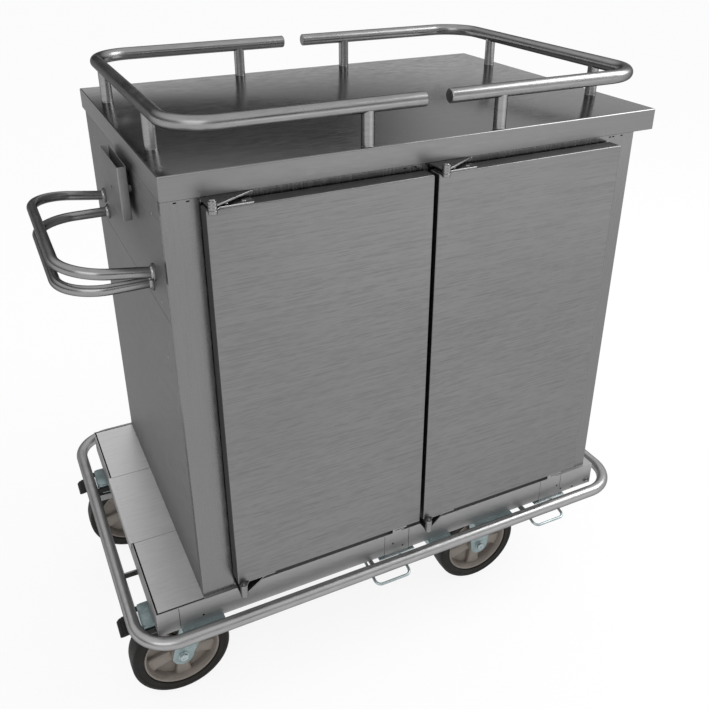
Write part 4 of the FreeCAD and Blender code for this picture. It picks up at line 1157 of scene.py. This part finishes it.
@dataclass
class Casters:
    """Two swivel casters with brake pedals at the handle end and two fixed casters."""

    rows: tuple[tuple[str, float], ...] = (("front", 80.0), ("rear", 543.0))
    pivot: float = 2.0
    hub: float = -43.0
    fixed: float = 664.0
    axle: float = 100.0
    inner: float = 27.5
    plate: float = 4.0
    crown_top: float = 213.7
    flange_levels: tuple[float, float] = (218.0, 222.0)
    flange: tuple[float, float] = (52.5, 67.5)

    def build(self, shop: Workshop) -> None:
        """Make the forks, bolts, top plates, wheels and brake pedals.

        Args:
            shop: Workshop that makes the pieces.
        """
        top = Surface()
        fixed = Surface()
        bolts = Surface()
        for row, y in self.rows:
            self.swivel(shop, row, y)
            self.brake(shop, row, y)
            Wheel(f"{row}_swivel", (self.hub, y)).build(shop)
            Wheel(f"{row}_fixed", (self.fixed, y)).build(shop)
            top.add(self.swivel_top(y))
            fixed.add(self.flange_plate(self.fixed, y))
            fixed.add(
                self.legs(self.fixed, y, self.fixed - 38.0, self.fixed + 38.0, self.flange_levels[0] + 0.5)
            )
            bolts.add(self.wheel_bolt(self.fixed, y))
        finishes = shop.finishes
        shop.piece("caster_top_plates", top, finishes.zinc, "cabinet", ("swivel_plates",))
        shop.piece("fixed_caster_forks", fixed, finishes.zinc, "cabinet", ("fixed_forks",))
        shop.piece(
            "fixed_wheel_bolts", bolts, finishes.bright_zinc, "cabinet", ("fixed_axles",)
        )

    def flange_plate(self, x: float, y: float) -> Surface:
        """Top plate of a caster with rounded corners and four bolt heads under it."""
        half_x, half_y = self.flange
        low, high = self.flange_levels
        plate = pressed(
            (x - half_x, y - half_y), (x + half_x, y + half_y), 8.0, soft_edge(low, high, 0.8), Axis.Z
        )
        for across in (-1, 1):
            for along in (-1, 1):
                spot = (x + across * (half_x - 12), y + along * (half_y - 12), low)
                plate.add(Bolt(7.0, 4.5).surface(spot, Axis.Z, -1.0))
        return plate

    def swivel_top(self, y: float) -> Surface:
        """Top plate with the turned ball race, the king pin and its nut."""
        top = self.flange_plate(self.pivot, y)
        race = np.array([
            (7.0, 204.4), (7.0, 209.0), (7.0, 214.0), (31.5, 214.0), (33.0, 215.2), (33.0, 216.8), (31.0, 218.0),
        ])
        top.add(turned(race, (self.pivot, y, 0.0), Axis.Z, 48))
        top.add(turned(np.array([(12.0, 204.6), (12.0, 209.2)]), (self.pivot, y, 0.0), Axis.Z, 6))
        return top

    def legs(self, x: float, y: float, left: float, right: float, top: float) -> Surface:
        """Two fork plates: straight edges from the top that run tangent into a round foot about the axle.

        Args:
            x: Place of the axle.
            y: Middle of the wheel.
            left: Left end of the fork's top.
            right: Right end of the fork's top.
            top: Height of the fork's top.

        Returns:
            Both plates.
        """
        foot = arc((x, self.axle), 22.0, 180.0, 360.0, 20)
        outline = np.vstack(
            (foot, [(right, top - 6.0), (right - 3.0, top), (left + 3.0, top), (left, top - 6.0)])
        )
        swapped = outline[::-1, ::-1]
        both = Surface()
        for start in (y - self.inner - self.plate, y + self.inner):
            both.add(cut_plate(swapped, start, start + self.plate, Axis.Y, 0.7))
        return both

    def wheel_bolt(self, x: float, y: float) -> Surface:
        """Wheel bolt: a shank through the hub, with a head and a nut."""
        outside = self.inner + self.plate
        shank = turned(np.array([(5.9, -outside), (5.9, outside)]), (x, y, self.axle), Axis.Y, 24)
        shank.add(Bolt(10.0, 7.0).surface((x, y - outside, self.axle), Axis.Y, -1.0))
        shank.add(Bolt(10.0, 7.0).surface((x, y + outside, self.axle), Axis.Y, 1.0))
        return shank

    def swivel(self, shop: Workshop, row: str, y: float) -> None:
        """Swivel fork with its crown and hood, and the wheel bolt.

        Args:
            shop: Workshop that makes the pieces.
            row: front or rear.
            y: Middle of the wheel.
        """
        outside = self.inner + self.plate
        top = self.crown_top
        fork = self.legs(self.hub, y, self.pivot - 38.0, self.pivot + 38.0, top - 1.0)
        crown = pressed(
            (
                self.pivot - 114.0, y - outside
            ), (self.pivot + 38.0, y + outside), 9.0, soft_edge(top - 4.0, top, 1.2), Axis.Z
        )
        fork.add(crown)
        fork.add(slab((-112.0, -108.0), (y - outside + 6.0, y + outside - 6.0), (top - 26.0, top - 2.0), 0.9))
        cheek = np.array([
            (-103.0, 188.0), (-60.0, 188.0), (-46.0, 194.0), (-36.0, 206.0), (-36.0, 212.5), (-110.0, 212.5),
            (-110.0, 196.0),
        ])
        for start in (y - outside, y + self.inner):
            fork.add(cut_plate(cheek[::-1, ::-1], start, start + self.plate, Axis.Y, 0.6))
        for sign in (-1.0, 1.0):
            fork.add(Bolt(4.0, 3.2).surface((-88.0, y + sign * outside, 199.0), Axis.Y, sign))
        boss = np.array([(30.0, 0.0), (29.0, 1.8), (16.0, 1.8)]) + (0.0, top - 4.2 - 1.6)
        fork.add(turned(boss, (self.pivot, y, 0.0), Axis.Z, 40))
        body = f"{row}_caster"
        finishes = shop.finishes
        shop.piece(f"{row}_caster_fork", fork, finishes.zinc, body, (f"{row}_swivel_fork",))
        bolt = self.wheel_bolt(self.hub, y)
        shop.piece(
            f"{row}_wheel_bolt", bolt, finishes.bright_zinc, body, (f"{row}_swivel_axle",)
        )

    def brake(self, shop: Workshop, row: str, y: float) -> None:
        """Brake pedal: a pad that curves down to its tip with raised ribs, on two arms.

        The pad's middle surface falls by the cube of the share of the way to its tip, and its ribs rise
        and fall as a cosine along it.

        Args:
            shop: Workshop that makes the pieces.
            row: front or rear.
            y: Middle of the wheel.
        """
        along = np.linspace(0, 1, 41)
        x = -119.8 - along * 34.0
        middle = 201.0 - 5.5 * along ** 3
        rib = 0.9 * np.clip(np.cos(along * math.pi * 12), 0, 1) * (along > 0.12) * (along < 0.9)
        half = 24.0 * (1 - 0.16 * along ** 6)
        turn = np.linspace(0, 2 * math.pi, 32, endpoint=False)
        across = np.sign(np.cos(turn)) * np.abs(np.cos(turn)) ** 0.3
        rise = np.sign(np.sin(turn)) * np.abs(np.sin(turn)) ** 0.5
        thick = 3.8 * np.sqrt(np.clip(1 - ((along - 0.5) * 2) ** 8, 0.03, 1))
        z = middle[:, None] + thick[:, None] * rise[None, :] + rib[:, None] * (rise > 0.5)[None, :]
        points = np.stack(
            (np.broadcast_to(x[:, None], z.shape), y + half[:, None] * across[None, :], z), axis=-1
        )
        faces = grid_faces(41, 32, False, True)
        faces.append(list(range(32))[::-1])
        faces.append([40 * 32 + number for number in range(32)])
        pad = Surface(points.reshape(-1, 3), faces)
        pad.add(slab((-127.5, -120.2), (y - 34.6, y + 34.6), (193.0, 205.0), 1.5))
        outline = np.vstack((
            arc((-88.0, 199.0), 7.0, -90.0, 90.0, 14), [
                (-110.0, 205.6), (-126.0, 205.0), (-127.5, 199.0), (-126.0, 193.0), (-110.0, 192.4)
            ],
        ))
        for start in (y - 34.7, y + 31.9):
            pad.add(cut_plate(outline[::-1, ::-1], start, start + 2.8, Axis.Y, 0.6))
        shop.piece(
            f"{row}_brake_foot", pad, shop.finishes.pedal, f"{row}_brake",
            (f"{row}_brake_pedal",),
        )


@dataclass
class DoorHardware:
    """Hinge arms, leaves and pins of both doors, and the foot catches with their wire loops."""

    hinge_places: tuple[tuple[str, float], ...] = (("left", 67.0), ("right", 463.0))
    hinge_line: float = -41.3
    catch_places: tuple[tuple[str, float], ...] = (("left", 409.0), ("right", 805.0))

    def build(self, shop: Workshop) -> None:
        """Make the hinges and the catches.

        Args:
            shop: Workshop that makes the pieces.
        """
        arms = Surface()
        pins = Surface()
        for side, x in self.hinge_places:
            arms.add(self.arm(x, (1064.7, 1067.7), (1060.8, 1067.7), (1060.8, 1075.0)))
            arms.add(self.arm(x, (301.0, 304.0), (288.2, 304.0), (299.5, 319.7)))
            pins.add(self.pin(x, 1054.6, 1075.0, 1.0))
            pins.add(self.pin(x, 329.9, 299.5, -1.0))
            self.leaves(shop, side, x)
        finishes = shop.finishes
        shop.piece("hinge_arm_plates", arms, finishes.small, "cabinet", ("hinge_arms",))
        shop.piece("hinge_pin_heads", pins, finishes.tube, "cabinet", ("hinge_pins",))
        for side, x in self.catch_places:
            self.catch(shop, side, x)

    def arm(
        self, x: float, web: tuple[float, float], foot: tuple[float, float], eye: tuple[float, float]
    ) -> Surface:
        """Hinge arm: a flat web that widens towards the frame, a foot on the frame and a turned eye.

        Args:
            x: Place of the hinge pin.
            web: Lower and upper level of the web.
            foot: Lower and upper level of the foot.
            eye: Lower and upper level of the eye.

        Returns:
            The arm's surface.
        """
        edge = x - 8.0
        outline = np.array([
            (edge + 1.5, self.hinge_line), (edge + 14.5, self.hinge_line), (edge + 84.0, -0.6), (edge + 1.0, -0.6),
        ])
        surface = cut_plate(outline, web[0], web[1], Axis.Z, 0.5)
        surface.add(slab((edge + 1.0, edge + 84.0), (-2.0, -0.05), foot, 0.5))
        groove = 0.45
        steps = np.linspace(eye[0], eye[1], 25)
        wave = 7.0 - groove * (np.cos((steps - eye[0]) / (eye[1] - eye[0]) * 6 * math.pi) > 0.8)
        surface.add(turned(np.stack((wave, steps), axis=1), (x, self.hinge_line, 0.0), Axis.Z, 28))
        middle = (foot[0] + foot[1]) / 2
        for along in (26.0, 64.0):
            head = np.array([(3.2, -1.9), (2.6, -3.0), (1.0, -3.2)])[::-1]
            surface.add(turned(head, (edge + along, 0.0, middle), Axis.Y, 16))
        return surface

    def pin(self, x: float, start: float, end: float, sign: float) -> Surface:
        """Hinge pin with a domed head beyond the arm's eye.

        Args:
            x: Place of the pin.
            start: Level of its free end.
            end: Level of the eye's outer face.
            sign: 1 if the head points up, -1 if down.

        Returns:
            The pin's surface.
        """
        rows = np.array([
            (2.9, start), (2.9, end), (5.0, end), (5.0, end + sign * 1.2), (4.2, end + sign * 2.1),
            (2.0, end + sign * 2.5),
        ])
        return turned(rows if sign > 0 else rows[::-1], (x, self.hinge_line, 0.0), Axis.Z, 24)

    def leaves(self, shop: Workshop, side: str, x: float) -> None:
        """Leaves above and below a door: a flat leaf with two screws, a tongue and a turned eye.

        Args:
            shop: Workshop that makes the pieces.
            side: left or right.
            x: Place of the hinge pin.
        """
        edge = x - 8.0
        surface = Surface()
        for low, high, eye_low, sign in ((1057.5, 1060.5, 1054.5, 1.0), (320.0, 323.0, 320.0, -1.0)):
            outline = np.array([
                (edge + 1.2, -32.8), (edge + 1.2, self.hinge_line), (
                    edge + 15.0, self.hinge_line
                ), (edge + 22.0, -32.8),
                (edge + 74.0, -32.8), (edge + 76.2, -30.6), (edge + 76.2, -12.8), (
                    edge + 74.0, -10.8
                ), (edge + 3.0, -10.8),
                (edge + 1.2, -12.6),
            ])
            surface.add(cut_plate(outline, low, high, Axis.Z, 0.5))
            eye = np.array([(6.5, eye_low), (7.0, eye_low + 0.5), (7.0, eye_low + 5.5), (6.5, eye_low + 6.0)])
            surface.add(turned(eye, (x, self.hinge_line, 0.0), Axis.Z, 28))
            face = high if sign > 0 else low
            for along in (34.0, 62.0):
                rows = np.array([(4.0, 0.0), (3.4, sign * 1.2), (1.2, sign * 1.5)]) + (0.0, face)
                surface.add(turned(rows if sign > 0 else rows[::-1], (edge + along, -21.0, 0.0), Axis.Z, 18))
        name = f"{side}_hinge_leaf_pair"
        shop.piece(
            name, surface, shop.finishes.small, f"{side}_door",
            (f"{side}_door_hinge_leaves",),
        )

    def catch(self, shop: Workshop, side: str, x: float) -> None:
        """Treadle plate with rounded edges and the closed wire loop that slopes down under the rail.

        Args:
            shop: Workshop that makes the pieces.
            side: left or right.
            x: Middle of the catch.
        """
        surface = slab((x - 41.5, x + 41.5), (-11.0, 46.0), (228.5, 231.5), 0.8)
        slope = math.radians(14.0)
        back = np.array([x - 28.0, 20.0, 227.0])
        ahead = np.array([0.0, -math.cos(slope), -math.sin(slope)]) * 74.0
        across = np.array([39.0, 0.0, 0.0])
        loop = np.stack((back - across, back - across + ahead, back + across + ahead, back + across))
        normal = np.cross(across, ahead)
        wire = tube(bent_line(loop, 12.0, True, 12), 3.0, normal / np.linalg.norm(normal), True, 20)
        surface.add(wire)
        shop.piece(
            f"{side}_foot_loop", surface, shop.finishes.bright_zinc, f"{side}_latch",
            (f"{side}_pedal",),
        )


@dataclass
class SheetMarks:
    """Punched holes, slots, seams and small bolts of the sheet, drawn a hair proud of its faces. The holes,
    slots and step cover joints are near black painted shade.

    Front places are along X and up Z; proud is how far a mark stands off its face.
    """

    proud: float = 0.12
    lip_slots: tuple[float, ...] = (22.0, 42.0, 408.0, 428.0, 845.0, 853.0, 873.0)
    lip_level: float = 1064.6
    skirt_face: float = -7.0
    skirt_holes: tuple[tuple[float, float], ...] = (
        (-5.5, 251.0), (423.0, 247.0), (400.0, 260.0), (838.0, 246.0), (825.0, 259.0), (871.4, 240.0),
    )
    end_boss: tuple[float, float] = (911.0, 246.0)
    corner_seam: float = -50.0
    skirt_levels: tuple[float, float] = (236.5, 287.0)
    holder_face: float = -24.0
    holder_hole: tuple[float, float] = (259.5, 1018.0)

    def build(self, shop: Workshop) -> None:
        """Make the marks.

        Args:
            shop: Workshop that makes the pieces.
        """
        self.dark_marks(shop)
        self.bolts(shop)

    def disc(self, x: float, face: float, z: float, radius: float) -> Surface:
        """Low round disc on a face that looks towards the front."""
        rows = np.array([(radius, face - self.proud), (radius, face + 0.3)])
        return turned(rows, (x, 0.0, z), Axis.Y, 18)

    def dark_marks(self, shop: Workshop) -> None:
        """Holes and seams, which look black in the photograph."""
        # Near black painted shade for the dark inside of the holes and slots and for the shadow in the step cover
        # joints; the corner seam is a dark joint.
        surface = Surface()
        slot_levels = (self.lip_level - 1.1, self.lip_level + 1.1)
        for x in self.lip_slots:
            surface.add(slab((x - 2.6, x + 2.6), (-self.proud, 0.3), slot_levels, 0.1))
        for x, z in self.skirt_holes:
            surface.add(self.disc(x, self.skirt_face, z, 2.2))
        low, high = self.skirt_levels
        face = (self.skirt_face - self.proud, self.skirt_face + 0.3)
        surface.add(slab((self.corner_seam - 0.5, self.corner_seam + 0.5), face, (low, high), 0.1))
        self.cover_joints(surface)
        y, z = self.holder_hole
        rows = np.array([(3.0, self.holder_face - self.proud), (3.0, self.holder_face + 0.3)])
        surface.add(turned(rows, (0.0, y, z), Axis.X, 18))
        shop.piece("sheet_holes", surface, shop.finishes.hole, "cabinet")

    def cover_joints(self, surface: Surface) -> None:
        """Shadow in the joint between the step covers and the edge of the base.

        Args:
            surface: Surface that the joints are added to.
        """
        deep = (284.1, 287.3)
        surface.add(slab((-89.9, -0.5), (-4.9, -2.1), deep, 0.1))
        for start, end in ((-4.9, 198.0), (427.5, 620.9)):
            surface.add(slab((-89.9, -87.1), (start, end), deep, 0.1))

    def bolts(self, shop: Workshop) -> None:
        """Round boss with a countersunk middle at the end of the skirt."""
        x, z = self.end_boss
        face = self.skirt_face
        rows = np.array([
            (0.5, face - 1.2), (2.2, face - 1.4), (3.4, face - 3.0), (5.2, face - 3.0), (6.0, face - 2.2), (
                6.0, face + 0.3
            ),
        ])
        shop.piece(
            "skirt_boss", turned(rows, (x, 0.0, z), Axis.Y, 28), shop.finishes.small, "cabinet",
        )


@dataclass
class CarriedNodes:
    """Finishes of the CAD nodes that keep their own shape."""

    def dress(self, frame: dict, finishes: Finishes) -> None:
        """Give each CAD node that isn't replaced its finish.

        Args:
            frame: The loaded frame.
            finishes: The cart's finishes.
        """
        wanted = {
            finishes.side: ("left_upper_panel", "left_lower_panel", "right_side_panel", "rear_panel"),
            finishes.frame: ("front_frame",),
            finishes.step: ("front_step_cover", "middle_step_cover", "rear_step_cover"),
            finishes.skirt: (
                "base_pan", "left_latch_lever", "right_latch_lever", "left_door_strike", "right_door_strike"
            ),
            finishes.inner: (
                "left_compartment_liner", "right_compartment_liner", "tray_racks", "left_door_inner_sheet",
                "right_door_inner_sheet",
            ),
            finishes.zinc: ("base_beams", "latch_bearers"),
            finishes.small: ("bumper_brackets", "latch_springs"),
            finishes.foam: ("wall_insulation", "left_door_core", "right_door_core"),
        }
        for finish, names in wanted.items():
            for name in names:
                node = frame["nodes"][name]
                for index in range(len(node.material_slots)):
                    node.material_slots[index].material = finish
                log.info("%s keeps its shape", name)


@dataclass
class Studio:
    """Pale floor, soft lights and the camera at the photo's angle."""

    camera_place: tuple[float, float, float] = (-235.95, -1134.78, 1472.9)
    azimuth: float = 26.07
    elevation: float = 26.36
    focal: float = 41.43
    shift: tuple[float, float] = (-0.0028, -0.0813)
    paper: float = 0.88
    sky_rise: tuple[tuple[float, float], ...] = (
        (0.0, 1.0), (0.09, 1.0), (0.15, 0.12), (0.33, 0.12), (0.6, 1.0), (1.0, 0.9),
    )
    sky_turn: tuple[tuple[float, float], ...] = ((0.4, 0.0), (0.52, 0.8), (1.0, 0.8))

    def build(self, origin: np.ndarray) -> None:
        """Make the floor, the lights, the world and the camera.

        Args:
            origin: The countertop's corner in the frame, in millimetres.
        """
        self.floor()
        self.world()
        self.lamp("key_light", (2.6, -0.9, 2.8), (2.0, 2.0), 60.0)
        self.lamp("fill_light", (-2.4, -2.6, 2.6), (2.6, 2.6), 30.0)
        self.lamp("front_light", (1.6, -3.3, 0.4), (3.0, 0.8), 4.0)
        data = bpy.data.cameras.new("photo_camera")
        data.sensor_width = 36.0
        data.lens = self.focal
        data.shift_x, data.shift_y = self.shift
        data.clip_start, data.clip_end = 0.05, 200.0
        camera = bpy.data.objects.new("photo_camera", data)
        camera.location = (np.array(self.camera_place) + origin) * MM
        turn = (math.radians(90.0 - self.elevation), 0.0, math.radians(-self.azimuth))
        camera.rotation_euler = Euler(turn, "XYZ")
        bpy.context.scene.collection.objects.link(camera)
        bpy.context.scene.camera = camera
        bpy.context.scene.view_settings.view_transform = "Standard"

    def floor(self) -> None:
        """Large pale floor: paper white to the camera and in reflections, with the cart's faint shadow."""
        half = 60.0
        corners = [(-half, -half, 0.0), (half, -half, 0.0), (half, half, 0.0), (-half, half, 0.0)]
        mesh = bpy.data.meshes.new("floor")
        mesh.from_pydata(corners, [], [[0, 1, 2, 3]])
        nodes = Nodes("floor_paint")
        tone = nodes.mix(
            nodes.noise((3.0, 3.0, 3.0)).outputs["Fac"], (0.9, 0.9, 0.9, 1), (0.92, 0.92, 0.92, 1)
        )
        nodes.link(tone.outputs[2], nodes.shader.inputs["Base Color"])
        nodes.constants(Roughness=0.9)
        paths = nodes.add("ShaderNodeLightPath")
        seen = nodes.most(paths.outputs["Is Glossy Ray"], paths.outputs["Is Transmission Ray"])
        seen = nodes.most(paths.outputs["Is Camera Ray"], seen.outputs[0])
        share = nodes.remap(seen.outputs[0], 0.0, self.paper, (0.0, 1.0))
        glow = nodes.add("ShaderNodeEmission", Strength=1.0)
        both = nodes.add("ShaderNodeMixShader")
        nodes.link(share.outputs[0], both.inputs[0])
        nodes.link(nodes.shader.outputs[0], both.inputs[1])
        nodes.link(glow.outputs[0], both.inputs[2])
        nodes.link(both.outputs[0], nodes.tree.nodes["Material Output"].inputs["Surface"])
        mesh.materials.append(nodes.material)
        floor = bpy.data.objects.new("floor", mesh)
        bpy.context.scene.collection.objects.link(floor)

    def world(self) -> None:
        """Studio sky: white at the horizon and overhead, a dark band between them, paler to the right."""
        world = bpy.data.worlds.new("studio")
        world.use_nodes = True
        tree = world.node_tree
        place = tree.nodes.new("ShaderNodeTexCoord")
        parts = tree.nodes.new("ShaderNodeSeparateXYZ")
        tree.links.new(place.outputs["Generated"], parts.inputs["Vector"])
        ramps = []
        for axis, stops in (("Z", self.sky_rise), ("X", self.sky_turn)):
            ramp = tree.nodes.new("ShaderNodeValToRGB")
            elements = ramp.color_ramp.elements
            elements[0].position, elements[1].position = stops[0][0], stops[-1][0]
            for position, _ in stops[1:-1]:
                elements.new(position)
            for element, (_, level) in zip(elements, stops):
                element.color = grey(level)
            tree.links.new(parts.outputs[axis], ramp.inputs["Fac"])
            ramps.append(ramp)
        lighter = tree.nodes.new("ShaderNodeMix")
        lighter.data_type, lighter.blend_type = "RGBA", "LIGHTEN"
        lighter.inputs[0].default_value = 1.0
        tree.links.new(ramps[0].outputs["Color"], lighter.inputs[6])
        tree.links.new(ramps[1].outputs["Color"], lighter.inputs[7])
        tree.links.new(lighter.outputs[2], tree.nodes["Background"].inputs["Color"])
        tree.nodes["Background"].inputs["Strength"].default_value = 1.0
        bpy.context.scene.world = world

    def lamp(
        self, name: str, place: tuple[float, float, float], size: tuple[float, float], power: float
    ) -> None:
        """Soft rectangular lamp that points at the cabinet.

        Args:
            name: Name of the lamp.
            place: Its place, in metres.
            size: Its width and height, in metres.
            power: Its power in watts.
        """
        data = bpy.data.lights.new(name, "AREA")
        data.shape = "RECTANGLE"
        data.size, data.size_y = size
        data.energy = power
        thing = bpy.data.objects.new(name, data)
        thing.location = place
        aim = np.array((0.0, 0.0, 0.6)) - np.array(place)
        flat = math.hypot(aim[0], aim[1])
        thing.rotation_euler = Euler(
            (math.atan2(flat, -aim[2]), 0.0, math.atan2(aim[1], aim[0]) - math.pi / 2), "XYZ"
        )
        bpy.context.scene.collection.objects.link(thing)


def corners(pair: tuple) -> list[list[float]]:
    """Two corners as plain lists of numbers."""
    return [[float(part) for part in corner] for corner in pair]


def main() -> None:
    """Load the frame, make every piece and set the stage."""
    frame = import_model()
    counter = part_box("countertop")[0]
    origin = np.array([counter[0] / MM, counter[1] / MM, 0.0])
    finishes = Finishes()
    shop = Workshop(finishes, origin)
    CarriedNodes().dress(frame, finishes)
    for assembly in (BentTubes(), SheetBody(), Casters(), DoorHardware(), SheetMarks()):
        assembly.build(shop)
        log.info("%s done", type(assembly).__name__)
    Studio().build(origin)
    log.info("%d pieces made", shop.made)


if __name__ == "__main__":
    main()
